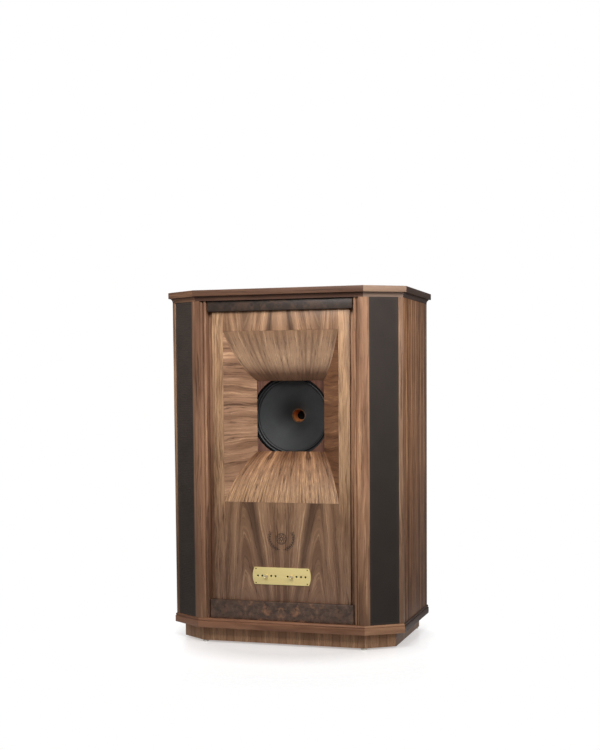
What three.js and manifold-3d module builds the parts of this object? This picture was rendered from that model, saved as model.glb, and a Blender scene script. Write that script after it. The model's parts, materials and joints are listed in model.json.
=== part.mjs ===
// Horn loudspeaker: wooden cabinet with chamfered front corners, a short front horn on a 15-inch
// driver, and a folded rear horn that comes out through perforated panels on the chamfers.
// Millimetres, +Z up, the front faces -Y, origin on the floor under the middle of the cap.

import * as THREE from 'three';
import { mergeVertices } from 'three/addons/utils/BufferGeometryUtils.js';
import Module from 'manifold-3d';

const wasm = await Module();
wasm.setup();

// ---------------------------------------------------------------- driving dimensions

const GAP = 0.3; // running clearance between neighbouring pieces

// Cap outline: the largest plan outline, with its front corners cut by chamfers.
const CAP_HALF_WIDTH = 490;
const CAP_HALF_DEPTH = 280;
const CAP_FRONT_CORNER_X = 346;
const CAP_SIDE_CORNER_Y = -182.6;

// Heights of the horizontal layers.
const GLIDE_HEIGHT = 7;
const PLINTH_TOP = 64;
const BASE_EDGE_TOP = 90;
const BODY_BOTTOM = 101;
const BODY_TOP = 1357;
const CAP_BOTTOM = 1374.5;
const CAP_TOP = 1399;

// How far each layer stands in from the cap outline.
const BODY_INSET = 15;
const BASE_INSET = 9;
const COVE_INSET = 9;
const PLINTH_INSET = { front: 42, chamfer: 42, side: 47, rear: 22 };

const PANEL = 18; // thickness of the cabinet boards
const RAIL_HEIGHT_TOP = 41;
const RAIL_HEIGHT_BOTTOM = 75;

// Front: pilasters, rails and baffle, as depths from the middle of the cabinet.
const RAIL_FACE_Y = -254;
const RAIL_HALF_WIDTH = 295;
const POST_INNER_X = 298.3;
const BAFFLE_FACE_Y = -240;
const BAFFLE_THICKNESS = 15;
const BAFFLE_HALF_WIDTH = 281;

// Stretches of the chamfer, measured along it from the cap's front corner.
const GRILLE_START = 28;
const GRILLE_END = 148;
const GRILLE_RECESS = 2;
const GRILLE_THICKNESS = 4;

// Front horn: exponential in height, straight in width.
const HORN_Z = 902.5;
const MOUTH_HALF_WIDTH = 235.5;
const MOUTH_HALF_HEIGHT = 335;
const THROAT_HALF_WIDTH = 140;
const THROAT_HALF_HEIGHT = 141;
const THROAT_Y = -111;
const FLARE_OFFSET = 57; // the flares follow an exponential above a line this far from the axis
const FLARE_THICKNESS = 14;
const FLARE_STEPS = 14;

// Driver on its mounting board.
const DRIVER_BOARD = 18.7;
const DRIVER_HOLE_R = 162;
const FRAME_R = 190.5;
const CONE_R = 140;
const COIL_R = 26;

// Control plate and its thumbscrews.
const PLATE_Z = 277;
const PLATE_HALF_LENGTH = 112;
const PLATE_HALF_HEIGHT = 34;
const PLATE_BULGE = 8;
const PLATE_THICKNESS = 2.5;
const TAP_X = [25, 43, 61.5, 80, 98];
const TAP_R = 3.3;
const SCREW_X = { left: -TAP_X[2], right: TAP_X[1] };

// ---------------------------------------------------------------- materials

const COLOURS = {
  walnut: [0x8a6650, 0.55, 0],
  walnutLight: [0xb08a6a, 0.5, 0],
  burr: [0x4c3a33, 0.4, 0],
  plywood: [0xa88860, 0.75, 0],
  grille: [0x2e2a28, 0.6, 0.3],
  pale: [0xd8d4c8, 0.5, 0],
  brass: [0xd6c080, 0.35, 1],
  copper: [0xa06030, 0.4, 1],
  cone: [0x2e3232, 0.9, 0],
  rubber: [0x141414, 0.8, 0],
  frame: [0x55585a, 0.5, 0.7],
  magnet: [0x3c3f42, 0.5, 0.5],
  bakelite: [0x2a1c14, 0.4, 0],
  red: [0x9a2018, 0.4, 0],
};

function material(name) {
  const [color, roughness, metalness] = COLOURS[name];
  return new THREE.MeshStandardMaterial({ name, color, roughness, metalness });
}

const loudspeaker = new THREE.Group();

function add(name, geometry, finish) {
  const mesh = new THREE.Mesh(geometry, material(finish));
  mesh.name = name;
  loudspeaker.add(mesh);
  return mesh;
}

// ---------------------------------------------------------------- shape helpers

// A closed board between two corners.
function board(low, high) {
  const size = high.map((value, i) => value - low[i]);
  const geometry = new THREE.BoxGeometry(...size);
  geometry.translate(...low.map((value, i) => value + size[i] / 2));
  return geometry;
}

// A plan outline (points [x, y]) raised from z0 to z1.
function upright(outline, z0, z1) {
  const shape = new THREE.Shape(outline.map(([x, y]) => new THREE.Vector2(x, y)));
  const geometry = new THREE.ExtrudeGeometry(shape, { depth: z1 - z0, bevelEnabled: false });
  geometry.translate(0, 0, z0);
  return geometry;
}

// A front-view outline (a Shape in x and z) given thickness from y0 back to y1.
function faceOn(shape, y0, y1, curveSegments = 12) {
  const depth = y1 - y0;
  const geometry = new THREE.ExtrudeGeometry(shape, { depth, bevelEnabled: false, curveSegments });
  geometry.rotateX(Math.PI / 2);
  geometry.translate(0, y1, 0);
  return geometry;
}

// A profile (points [radius, y]) turned about an axis along Y through the given x and z. A profile
// that doesn't start and end on the axis closes on itself.
function turned(profile, segments, x, z) {
  const points = profile.map(([radius, y]) => new THREE.Vector2(radius, y));
  const isRing = points[0].x > 0 || points[points.length - 1].x > 0;
  if (isRing) points.push(points[0].clone());
  const geometry = new THREE.LatheGeometry(points, segments);
  geometry.translate(x, 0, z);
  return signedVolume(geometry) < 0 ? flipped(geometry) : geometry;
}

function signedVolume(geometry) {
  const { index, attributes } = geometry;
  const corners = [new THREE.Vector3(), new THREE.Vector3(), new THREE.Vector3()];
  let volume = 0;
  for (let i = 0; i < index.count; i += 3) {
    corners.forEach((corner, k) => corner.fromBufferAttribute(attributes.position, index.getX(i + k)));
    volume += corners[0].dot(corners[1].clone().cross(corners[2])) / 6;
  }
  return volume;
}

function flipped(geometry) {
  const { index } = geometry;
  for (let i = 0; i < index.count; i += 3) {
    const first = index.getX(i);
    index.setX(i, index.getX(i + 1));
    index.setX(i + 1, first);
  }
  return geometry;
}

// Points on an arc of a circle, from one angle to another, both ends included.
function arc(cx, cy, radius, from, to, steps) {
  return Array.from({ length: steps + 1 }, (_, i) => {
    const angle = from + ((to - from) * i) / steps;
    return [cx + radius * Math.cos(angle), cy + radius * Math.sin(angle)];
  });
}

const mirrored = (outline) => outline.map(([x, y]) => [-x, y]).reverse();
const SIDES = [['left', -1], ['right', 1]];
const sided = (outline, side) => (side < 0 ? mirrored(outline) : outline);

// ---------------------------------------------------------------- booleans

function solid(geometry) {
  const bare = geometry.clone();
  bare.deleteAttribute('normal');
  bare.deleteAttribute('uv');
  const merged = mergeVertices(bare, 1e-3);
  const corners = merged.index.array;
  const triangles = [];
  for (let i = 0; i < corners.length; i += 3) {
    const [a, b, c] = corners.slice(i, i + 3);
    if (a !== b && b !== c && c !== a) triangles.push(a, b, c);
  }
  const mesh = new wasm.Mesh({
    numProp: 3,
    vertProperties: new Float32Array(merged.attributes.position.array),
    triVerts: new Uint32Array(triangles),
  });
  return new wasm.Manifold(mesh);
}

function unsolid(manifold) {
  const mesh = manifold.getMesh();
  const geometry = new THREE.BufferGeometry();
  geometry.setAttribute('position', new THREE.BufferAttribute(new Float32Array(mesh.vertProperties), 3));
  geometry.setIndex(Array.from(mesh.triVerts));
  return geometry;
}

function cut(geometry, ...tools) {
  return unsolid(tools.reduce((body, tool) => body.subtract(solid(tool)), solid(geometry)));
}

function join(...geometries) {
  return unsolid(geometries.map(solid).reduce((body, next) => body.add(next)));
}

function common(geometry, tool) {
  return unsolid(solid(geometry).intersect(solid(tool)));
}

// ---------------------------------------------------------------- cabinet outlines

const CHAMFER = new THREE.Vector2(CAP_HALF_WIDTH - CAP_FRONT_CORNER_X, CAP_SIDE_CORNER_Y + CAP_HALF_DEPTH);
const ALONG = CHAMFER.clone().normalize();
const OUTWARD = new THREE.Vector2(ALONG.y, -ALONG.x);
const CHAMFER_REACH = OUTWARD.x * CAP_FRONT_CORNER_X - OUTWARD.y * CAP_HALF_DEPTH;

// A point on the right chamfer, by its distance from the cap's front corner and its inset.
function onChamfer(distance, inset) {
  const x = CAP_FRONT_CORNER_X + distance * ALONG.x - inset * OUTWARD.x;
  const y = -CAP_HALF_DEPTH + distance * ALONG.y - inset * OUTWARD.y;
  return [x, y];
}

// The right half of the plan outline, from front to rear, at the given insets.
function halfOutline({ front, chamfer, side, rear }) {
  const frontY = -CAP_HALF_DEPTH + front;
  const sideX = CAP_HALF_WIDTH - side;
  const reach = CHAMFER_REACH - chamfer;
  return [
    [(reach - OUTWARD.y * frontY) / OUTWARD.x, frontY],
    [sideX, (reach - OUTWARD.x * sideX) / OUTWARD.y],
    [sideX, CAP_HALF_DEPTH - rear],
  ];
}

const evenInset = (inset) => ({ front: inset, chamfer: inset, side: inset, rear: inset });

function wholeOutline(insets) {
  const half = halfOutline(insets);
  return [...half, ...mirrored(half)];
}

// A moulded slab: the plan outline at each [inset, z] level, joined by straight faces.
function mouldedSlab(levels) {
  const rings = levels.map(([inset, z]) => wholeOutline(evenInset(inset)).map(([x, y]) => [x, y, z]));
  const corners = rings[0].length;
  const index = [];
  for (let level = 0; level < rings.length - 1; level += 1) {
    for (let i = 0; i < corners; i += 1) {
      const next = (i + 1) % corners;
      const a = level * corners + i;
      const b = level * corners + next;
      index.push(a, b, b + corners, a, b + corners, a + corners);
    }
  }
  const top = (rings.length - 1) * corners;
  for (let i = 1; i < corners - 1; i += 1) {
    index.push(0, i + 1, i);
    index.push(top, top + i, top + i + 1);
  }
  const geometry = new THREE.BufferGeometry();
  geometry.setAttribute('position', new THREE.Float32BufferAttribute(rings.flat(2), 3));
  geometry.setIndex(index);
  return geometry;
}

// ---------------------------------------------------------------- top and base

const EASED = 1.2;

function addCap() {
  add('top_board', mouldedSlab([
    [EASED, CAP_BOTTOM + GAP],
    [0, CAP_BOTTOM + GAP + EASED],
    [0, CAP_TOP - EASED],
    [EASED, CAP_TOP],
  ]), 'walnut');

  // Cove: a quarter hollow that climbs from the body to just under the top board.
  const rise = CAP_BOTTOM - BODY_TOP - GAP;
  const reach = BODY_INSET - COVE_INSET;
  const steps = 6;
  const cove = Array.from({ length: steps + 1 }, (_, i) => {
    const angle = (Math.PI / 2) * (i / steps);
    return [COVE_INSET + reach * Math.cos(angle), BODY_TOP + GAP + rise * Math.sin(angle)];
  });
  add('cornice_board', mouldedSlab(cove), 'walnut');
}

// Plain edge, then a quirk and a low round that leads up to the body.
function addBase() {
  const quirk = 1.6;
  add('base_board', mouldedSlab([
    [BASE_INSET + EASED, PLINTH_TOP + GAP],
    [BASE_INSET, PLINTH_TOP + GAP + EASED],
    [BASE_INSET, BASE_EDGE_TOP],
    [BASE_INSET + 3, BASE_EDGE_TOP],
    [BASE_INSET + 3, BASE_EDGE_TOP + quirk],
    [BASE_INSET + 1.8, BASE_EDGE_TOP + quirk + 1.6],
    [BASE_INSET + 2.2, BASE_EDGE_TOP + 6],
    [BASE_INSET + 4, BASE_EDGE_TOP + 9],
    [BODY_INSET, BODY_BOTTOM - GAP],
  ]), 'walnut');
}

// Six mitred boards under the base, each the part of the plinth ring behind one edge.
function addPlinth() {
  const outer = wholeOutline(PLINTH_INSET);
  const inner = wholeOutline({
    front: PLINTH_INSET.front + PANEL,
    chamfer: PLINTH_INSET.chamfer + PANEL,
    side: PLINTH_INSET.side + PANEL,
    rear: PLINTH_INSET.rear + PANEL,
  });
  const names = ['chamfer_right', 'side_right', 'back', 'side_left', 'chamfer_left', 'front'];
  names.forEach((name, i) => {
    const next = (i + 1) % outer.length;
    const quad = [outer[i], outer[next], inner[next], inner[i]];
    add(`plinth_${name}`, upright(shortened(quad), GLIDE_HEIGHT + GAP, PLINTH_TOP), 'walnut');
  });
}

// The same quad with both mitred ends moved in, to leave a gap at each mitre.
function shortened([a, b, c, d]) {
  const along = new THREE.Vector2(b[0] - a[0], b[1] - a[1]).setLength(GAP);
  const shift = ([x, y], sign) => [x + sign * along.x, y + sign * along.y];
  return [shift(a, 1), shift(b, -1), shift(c, -1), shift(d, 1)];
}

function addGlides() {
  const radius = 12;
  const frontX = halfOutline(PLINTH_INSET)[0][0] - 4.5;
  const frontY = -CAP_HALF_DEPTH + PLINTH_INSET.front + radius + 0.5;
  const rearX = CAP_HALF_WIDTH - PLINTH_INSET.side - radius - 1;
  const rearY = CAP_HALF_DEPTH - PLINTH_INSET.rear - radius - 1;
  SIDES.forEach(([side, sign]) => {
    [['front', frontX, frontY], ['rear', rearX, rearY]].forEach(([end, x, y]) => {
      const glide = new THREE.CylinderGeometry(radius, radius - 1, GLIDE_HEIGHT, 16);
      glide.rotateX(Math.PI / 2);
      glide.translate(sign * x, y, GLIDE_HEIGHT / 2);
      add(`glide_${end}_${side}`, glide, 'pale');
    });
  });
}

// ---------------------------------------------------------------- body

const BODY_LOW = BODY_BOTTOM;
const BODY_HIGH = BODY_TOP;
const BODY_SIDE_X = CAP_HALF_WIDTH - BODY_INSET;
const BODY_REAR_Y = CAP_HALF_DEPTH - BODY_INSET;
const STRIP_REAR_Y = -158;

function addBody() {
  SIDES.forEach(([side, sign]) => {
    const sideOutline = [
      [BODY_SIDE_X, STRIP_REAR_Y + GAP],
      [BODY_SIDE_X, BODY_REAR_Y],
      [BODY_SIDE_X - PANEL, BODY_REAR_Y],
      [BODY_SIDE_X - PANEL, STRIP_REAR_Y + GAP],
    ];
    add(`side_panel_${side}`, upright(sided(sideOutline, sign), BODY_LOW, BODY_HIGH), 'walnut');

    const strip = [
      onChamfer(GRILLE_END, BODY_INSET),
      halfOutline(evenInset(BODY_INSET))[1],
      [BODY_SIDE_X, STRIP_REAR_Y],
      [BODY_SIDE_X - PANEL, STRIP_REAR_Y],
      onChamfer(GRILLE_END, BODY_INSET + PANEL),
    ];
    add(`corner_strip_${side}`, upright(sided(strip, sign), BODY_LOW, BODY_HIGH), 'walnut');

    const face = BODY_INSET + GRILLE_RECESS;
    const grille = [
      onChamfer(GRILLE_START + GAP, face),
      onChamfer(GRILLE_END - GAP, face),
      onChamfer(GRILLE_END - GAP, face + GRILLE_THICKNESS),
      onChamfer(GRILLE_START + GAP, face + GRILLE_THICKNESS),
    ];
    add(`side_grille_${side}`, upright(sided(grille, sign), BODY_LOW, BODY_HIGH), 'grille');

    add(`pilaster_${side}`, upright(sided(pilasterOutline(), sign), BODY_LOW, BODY_HIGH), 'walnutLight');
  });

  const innerX = BODY_SIDE_X - PANEL - GAP;
  const back = board([-innerX, BODY_REAR_Y - PANEL, BODY_LOW], [innerX, BODY_REAR_Y, BODY_HIGH]);
  const terminals = board(
    [-TERMINAL_HOLE_X, BODY_REAR_Y - 2 * PANEL, TERMINAL_Z - TERMINAL_HOLE_Z],
    [TERMINAL_HOLE_X, BODY_REAR_Y + PANEL, TERMINAL_Z + TERMINAL_HOLE_Z],
  );
  add('back_panel', cut(back, terminals), 'plywood');
}

// Plan section of the right post: grille edge, rounded corner, flat, hollow, bead, then the
// rebate behind that the baffle is fixed to.
function pilasterOutline() {
  const frontY = -CAP_HALF_DEPTH + BODY_INSET;
  const cornerX = halfOutline(evenInset(BODY_INSET))[0][0];
  const cornerStart = (BODY_INSET * (1 + OUTWARD.y)) / ALONG.y;
  const rounding = 9;
  const hollowX = 314;
  const hollowR = 9;
  const beadR = 6.5;
  const beadX = POST_INNER_X + beadR + 0.5;
  const beadY = frontY + 13;
  const lipInnerX = 262;
  const lipY = BAFFLE_FACE_Y + BAFFLE_THICKNESS + GAP;
  const lipRearY = lipY + 25;
  const corner = new THREE.QuadraticBezierCurve(
    new THREE.Vector2(...onChamfer(cornerStart + rounding, BODY_INSET)),
    new THREE.Vector2(cornerX, frontY),
    new THREE.Vector2(cornerX - rounding, frontY),
  ).getPoints(5).map(({ x, y }) => [x, y]);
  const outline = [
    onChamfer(GRILLE_START, BODY_INSET),
    onChamfer(GRILLE_START, BODY_INSET + 32),
    [335, lipRearY],
    [lipInnerX, lipRearY],
    [lipInnerX, lipY],
    [POST_INNER_X, lipY],
    ...arc(beadX, beadY, beadR, Math.PI, 2 * Math.PI, 8),
    ...arc(hollowX, frontY, hollowR, Math.PI / 2, 0, 5),
    ...corner.reverse(),
  ];
  return outline;
}

function addFront() {
  const railRearY = BAFFLE_FACE_Y + BAFFLE_THICKNESS;
  const topLow = BODY_TOP - RAIL_HEIGHT_TOP;
  const bottomHigh = BODY_BOTTOM + RAIL_HEIGHT_BOTTOM;
  add('burr_rail_top', board(
    [-RAIL_HALF_WIDTH, RAIL_FACE_Y, topLow],
    [RAIL_HALF_WIDTH, railRearY, BODY_HIGH],
  ), 'burr');

  // The bottom rail has a rounded top edge at the front.
  const nose = 4;
  const side = [
    [RAIL_FACE_Y, BODY_LOW],
    [railRearY, BODY_LOW],
    [railRearY, bottomHigh],
    ...arc(RAIL_FACE_Y + nose, bottomHigh - nose, nose, Math.PI / 2, Math.PI, 4),
  ];
  add('burr_rail_bottom', across(side, RAIL_HALF_WIDTH), 'burr');

  const baffle = board(
    [-BAFFLE_HALF_WIDTH, BAFFLE_FACE_Y, bottomHigh + GAP],
    [BAFFLE_HALF_WIDTH, BAFFLE_FACE_Y + BAFFLE_THICKNESS, topLow - GAP],
  );
  const mouth = hornBlock(MOUTH_HALF_WIDTH + GAP, MOUTH_HALF_HEIGHT + GAP);
  const slots = SIDES.map(([, sign]) => {
    const middle = (sign * (TAP_X[0] + TAP_X[4])) / 2;
    const halfLength = (TAP_X[4] - TAP_X[0]) / 2 + 8;
    const slot = board([-halfLength, -300, PLATE_Z - 8], [halfLength, -200, PLATE_Z + 8]);
    return slot.translate(middle, 0, 0);
  });
  add('front_baffle', cut(baffle, mouth, ...slots), 'walnutLight');
}

// A side-view outline (points [y, z]) stretched across the cabinet.
function across(outline, halfWidth) {
  const shape = new THREE.Shape(outline.map(([y, z]) => new THREE.Vector2(y, z)));
  const geometry = new THREE.ExtrudeGeometry(shape, { depth: 2 * halfWidth, bevelEnabled: false });
  geometry.rotateY(Math.PI / 2);
  geometry.rotateX(Math.PI / 2);
  geometry.translate(-halfWidth, 0, 0);
  return geometry;
}

// ---------------------------------------------------------------- front horn

function hornBlock(halfWidth, halfHeight) {
  return board([-halfWidth, -300, HORN_Z - halfHeight], [halfWidth, -200, HORN_Z + halfHeight]);
}

const HORN_DEPTH = THROAT_Y - BAFFLE_FACE_Y;

const FLARE_GROWTH = Math.log((MOUTH_HALF_HEIGHT - FLARE_OFFSET) / (THROAT_HALF_HEIGHT - FLARE_OFFSET));

// Half the horn's height at a depth behind the baffle's face.
function flareHeight(depth) {
  const swell = Math.exp(FLARE_GROWTH * (1 - depth / HORN_DEPTH));
  return FLARE_OFFSET + (THROAT_HALF_HEIGHT - FLARE_OFFSET) * swell;
}

// Half the horn's width at a depth behind the baffle's face.
function cheekWidth(depth) {
  return MOUTH_HALF_WIDTH + ((THROAT_HALF_WIDTH - MOUTH_HALF_WIDTH) * depth) / HORN_DEPTH;
}

function addHorn() {
  const rearDepth = HORN_DEPTH - GAP;
  const throughBaffle = BAFFLE_THICKNESS + GAP;
  const inner = Array.from({ length: FLARE_STEPS + 1 }, (_, i) => {
    const depth = (rearDepth * i) / FLARE_STEPS;
    return [BAFFLE_FACE_Y + depth, flareHeight(depth)];
  });
  const outer = inner
    .filter(([y]) => y > BAFFLE_FACE_Y + throughBaffle)
    .map(([y, height]) => {
      const slope = (FLARE_GROWTH * (height - FLARE_OFFSET)) / HORN_DEPTH;
      return [y, height + FLARE_THICKNESS * Math.hypot(1, slope)];
    });
  const lipY = BAFFLE_FACE_Y + throughBaffle;
  const section = [...inner, ...outer.reverse(), [lipY, outer[outer.length - 1][1] + 12], [lipY, MOUTH_HALF_HEIGHT]];

  // The flares fit between the cheeks, so their ends are cut to the cheeks' slope.
  const between = upright([
    [-cheekWidth(-20) + GAP, BAFFLE_FACE_Y - 20],
    [cheekWidth(-20) - GAP, BAFFLE_FACE_Y - 20],
    [cheekWidth(HORN_DEPTH + 20) - GAP, THROAT_Y + 20],
    [-cheekWidth(HORN_DEPTH + 20) + GAP, THROAT_Y + 20],
  ], 0, CAP_TOP);
  [['top', 1], ['bottom', -1]].forEach(([place, sign]) => {
    const outline = section.map(([y, height]) => [y, HORN_Z + sign * height]);
    const full = across(sign > 0 ? outline.reverse() : outline, MOUTH_HALF_WIDTH);
    add(`horn_flare_${place}`, common(full, between), 'walnutLight');
  });

  const slope = (MOUTH_HALF_WIDTH - THROAT_HALF_WIDTH) / HORN_DEPTH;
  const cheekRise = FLARE_THICKNESS * Math.hypot(1, slope);
  const cheek = [
    [MOUTH_HALF_WIDTH, BAFFLE_FACE_Y],
    [MOUTH_HALF_WIDTH, lipY],
    [cheekWidth(throughBaffle) + cheekRise, lipY],
    [cheekWidth(rearDepth) + cheekRise, THROAT_Y - GAP],
    [cheekWidth(rearDepth), THROAT_Y - GAP],
  ];
  SIDES.forEach(([side, sign]) => {
    const low = HORN_Z - MOUTH_HALF_HEIGHT;
    const high = HORN_Z + MOUTH_HALF_HEIGHT;
    add(`horn_cheek_${side}`, upright(sided(cheek, sign), low, high), 'walnutLight');
  });
}

// ---------------------------------------------------------------- driver board and rear horn

const CHAMBER_HALF_WIDTH = 215;
const CHAMBER_HALF_HEIGHT = 225;
const CHAMBER_FRONT_Y = THROAT_Y + DRIVER_BOARD + 2 * GAP;
const CHAMBER_REAR_Y = 212;
const DIVIDER_X = 315;
const DIVIDER_REAR_Y = 150;

function addChamber() {
  const plate = board(
    [-CHAMBER_HALF_WIDTH, THROAT_Y, HORN_Z - CHAMBER_HALF_HEIGHT],
    [CHAMBER_HALF_WIDTH, THROAT_Y + DRIVER_BOARD, HORN_Z + CHAMBER_HALF_HEIGHT],
  );
  const hole = turned([[0, -200], [DRIVER_HOLE_R, -200], [DRIVER_HOLE_R, 0], [0, 0]], 48, 0, HORN_Z);
  add('driver_board', cut(plate, hole), 'walnutLight');

  const shelfX = DIVIDER_X - GAP;
  [['top', 1], ['bottom', -1]].forEach(([place, sign]) => {
    const near = HORN_Z + sign * (CHAMBER_HALF_HEIGHT - PANEL);
    const far = HORN_Z + sign * CHAMBER_HALF_HEIGHT;
    const [low, high] = [Math.min(near, far), Math.max(near, far)];
    add(`chamber_${place}`, board([-shelfX, CHAMBER_FRONT_Y, low], [shelfX, CHAMBER_REAR_Y, high]), 'plywood');
  });

  const wallHalfHeight = CHAMBER_HALF_HEIGHT - PANEL - GAP;
  const rearInnerY = CHAMBER_REAR_Y - PANEL;
  add('chamber_back', board(
    [-CHAMBER_HALF_WIDTH, rearInnerY, HORN_Z - wallHalfHeight],
    [CHAMBER_HALF_WIDTH, CHAMBER_REAR_Y, HORN_Z + wallHalfHeight],
  ), 'plywood');

  // Each side wall stops short of the front, which leaves the slot that feeds the rear horn.
  const feedSlot = 70;
  const dividerFrontY = BAFFLE_FACE_Y + BAFFLE_THICKNESS + 25 + 2 * GAP;
  SIDES.forEach(([side, sign]) => {
    const wall = [
      [CHAMBER_HALF_WIDTH - PANEL, CHAMBER_FRONT_Y + feedSlot],
      [CHAMBER_HALF_WIDTH, CHAMBER_FRONT_Y + feedSlot],
      [CHAMBER_HALF_WIDTH, rearInnerY - GAP],
      [CHAMBER_HALF_WIDTH - PANEL, rearInnerY - GAP],
    ];
    add(`chamber_${side}`, upright(sided(wall, sign), HORN_Z - wallHalfHeight, HORN_Z + wallHalfHeight), 'plywood');

    const divider = [
      [DIVIDER_X, dividerFrontY],
      [DIVIDER_X + PANEL, dividerFrontY],
      [DIVIDER_X + PANEL, DIVIDER_REAR_Y],
      [DIVIDER_X, DIVIDER_REAR_Y],
    ];
    add(`rear_horn_divider_${side}`, upright(sided(divider, sign), BODY_LOW, BODY_HIGH), 'plywood');
  });
}

// ---------------------------------------------------------------- driver

const GASKET_FRONT_Y = CHAMBER_FRONT_Y;
const GASKET_THICKNESS = 4;
const RIM_FRONT_Y = GASKET_FRONT_Y + GASKET_THICKNESS + GAP + 1 + GAP;
const RIM_THICKNESS = 5;
const CONE_RIM_Y = RIM_FRONT_Y + 3;
const CONE_REAR_Y = 0;
const SPIDER_Y = 31;
const MAGNET_FRONT_Y = 48;
const MAGNET_REAR_Y = 150;
const MAGNET_R = 72;
const ROUND = 40;

// Depth of the cone's front face at a radius: steep at the neck, flatter at the rim.
function coneDepth(radius) {
  const share = (CONE_R - radius) / (CONE_R - COIL_R);
  return CONE_RIM_Y + (CONE_REAR_Y - CONE_RIM_Y) * (0.72 * share + 0.28 * share ** 3);
}

function addDriver() {
  const onAxis = (profile, segments = ROUND) => turned(profile, segments, 0, HORN_Z);

  add('driver_gasket', onAxis([
    [DRIVER_HOLE_R + 4, GASKET_FRONT_Y],
    [FRAME_R, GASKET_FRONT_Y],
    [FRAME_R, GASKET_FRONT_Y + GASKET_THICKNESS],
    [DRIVER_HOLE_R + 4, GASKET_FRONT_Y + GASKET_THICKNESS],
  ]), 'rubber');

  // Frame: flat rim, sloping basket with windows, ledge for the spider and a rear flange.
  const rimRearY = RIM_FRONT_Y + RIM_THICKNESS;
  const spiderR = 84;
  const rimInner = 164;
  const frame = onAxis([
    [FRAME_R, RIM_FRONT_Y],
    [FRAME_R, rimRearY],
    [rimInner + 12, rimRearY],
    [spiderR + 10, SPIDER_Y + 6],
    [spiderR, MAGNET_FRONT_Y - GAP],
    [44, MAGNET_FRONT_Y - GAP],
    [44, MAGNET_FRONT_Y - 4],
    [spiderR - 8, MAGNET_FRONT_Y - 4],
    [spiderR - 8, SPIDER_Y],
    [spiderR + 4, SPIDER_Y],
    [rimInner, rimRearY - 2],
    [rimInner, RIM_FRONT_Y],
  ]);
  const windows = Array.from({ length: 6 }, (_, i) => {
    const opening = board([-34, rimRearY + 12, 96], [34, SPIDER_Y - 12, 210]);
    opening.rotateY((Math.PI / 3) * i);
    return opening.translate(0, 0, HORN_Z);
  });
  add('driver_frame', cut(frame, ...windows), 'frame');

  // Surround: clamped flange, then two half rolls down to the cone's rim.
  const flangeY = RIM_FRONT_Y - GAP;
  const rolls = (lift) => [
    [FRAME_R - 1.5, flangeY - lift],
    [163, flangeY - lift],
    [157.5, flangeY - 4 - lift],
    [152, flangeY + 1 - lift],
    [146.5, flangeY - 2 - lift],
    [CONE_R + 0.5, CONE_RIM_Y + 1 - lift],
  ];
  add('cone_surround', onAxis([...rolls(1), ...rolls(0).reverse()]), 'rubber');

  const coneRadii = [CONE_R, 120, 98, 76, 58, 44, 34, COIL_R + 2];
  const thickness = 2.2;
  const front = coneRadii.map((radius) => [radius, coneDepth(radius)]);
  const rear = front.map(([radius, y]) => [radius, y + thickness]).reverse();
  add('cone', onAxis([...front, ...rear]), 'cone');

  add('voice_coil_former', onAxis([
    [COIL_R + 0.2, CONE_REAR_Y - 4],
    [COIL_R + 1.7, CONE_REAR_Y - 4],
    [COIL_R + 1.7, MAGNET_FRONT_Y + 12],
    [COIL_R + 0.2, MAGNET_FRONT_Y + 12],
  ]), 'frame');

  // Spider: corrugated disc between the former and the frame's ledge.
  const spiderInner = COIL_R + 2;
  const waves = 5;
  const spiderFront = Array.from({ length: 2 * waves + 1 }, (_, i) => {
    const radius = spiderInner + ((spiderR + 3 - spiderInner) * i) / (2 * waves);
    const wave = i % 2 && i < 2 * waves ? 3 : 0;
    return [radius, SPIDER_Y - GAP - 1 - wave];
  });
  const spiderRear = spiderFront.map(([radius, y]) => [radius, y + 1]).reverse();
  add('spider', onAxis([...spiderFront, ...spiderRear], 32), 'plywood');

  // Magnet: solid ring with a blind groove for the coil and a bore down the middle.
  const boreR = 9;
  const grooveInner = COIL_R - 0.8;
  const grooveOuter = COIL_R + 3;
  add('magnet', onAxis([
    [boreR, MAGNET_FRONT_Y],
    [grooveInner, MAGNET_FRONT_Y],
    [grooveInner, MAGNET_FRONT_Y + 26],
    [grooveOuter, MAGNET_FRONT_Y + 26],
    [grooveOuter, MAGNET_FRONT_Y],
    [MAGNET_R, MAGNET_FRONT_Y],
    [MAGNET_R, MAGNET_REAR_Y],
    [boreR, MAGNET_REAR_Y],
  ]), 'magnet');

  // High-frequency horn: a flared copper-coloured throat on the pole piece.
  const throatR = COIL_R - 1;
  add('hf_throat', onAxis([
    [throatR, 2],
    [throatR, MAGNET_FRONT_Y - GAP],
    [boreR, MAGNET_FRONT_Y - GAP],
    [boreR + 1, 34],
    [boreR + 4, 18],
    [throatR - 5, 6],
    [throatR - 2, 2],
  ]), 'copper');

  const domeR = 24;
  const domeY = MAGNET_REAR_Y + 3;
  const dome = Array.from({ length: 6 }, (_, i) => {
    const radius = (domeR * i) / 5;
    return [radius, domeY + 8 * (1 - (radius / domeR) ** 2)];
  });
  const domeRear = dome.map(([radius, y]) => [radius, y + 0.8]).reverse();
  add('hf_diaphragm', onAxis([...dome, ...domeRear], 32), 'pale');

  // Rear cover: a cup over the diaphragm.
  const coverR = 60;
  const coverRearY = MAGNET_REAR_Y + 34;
  add('hf_rear_cover', onAxis([
    [coverR, MAGNET_REAR_Y + GAP],
    [coverR, coverRearY],
    [0, coverRearY],
    [0, coverRearY - 4],
    [coverR - 4, coverRearY - 4],
    [coverR - 4, MAGNET_REAR_Y + GAP],
  ]), 'frame');
}

// ---------------------------------------------------------------- controls

const SCREW_HEAD_R = 6.5;
const SCREW_HEAD_LENGTH = 12;
const SHANK_R = 2.5;
const WASHER_THICKNESS = 1;
const PLATE_FRONT_Y = BAFFLE_FACE_Y - GAP - PLATE_THICKNESS;
const BLOCK_FRONT_Y = BAFFLE_FACE_Y + BAFFLE_THICKNESS + GAP;

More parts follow.
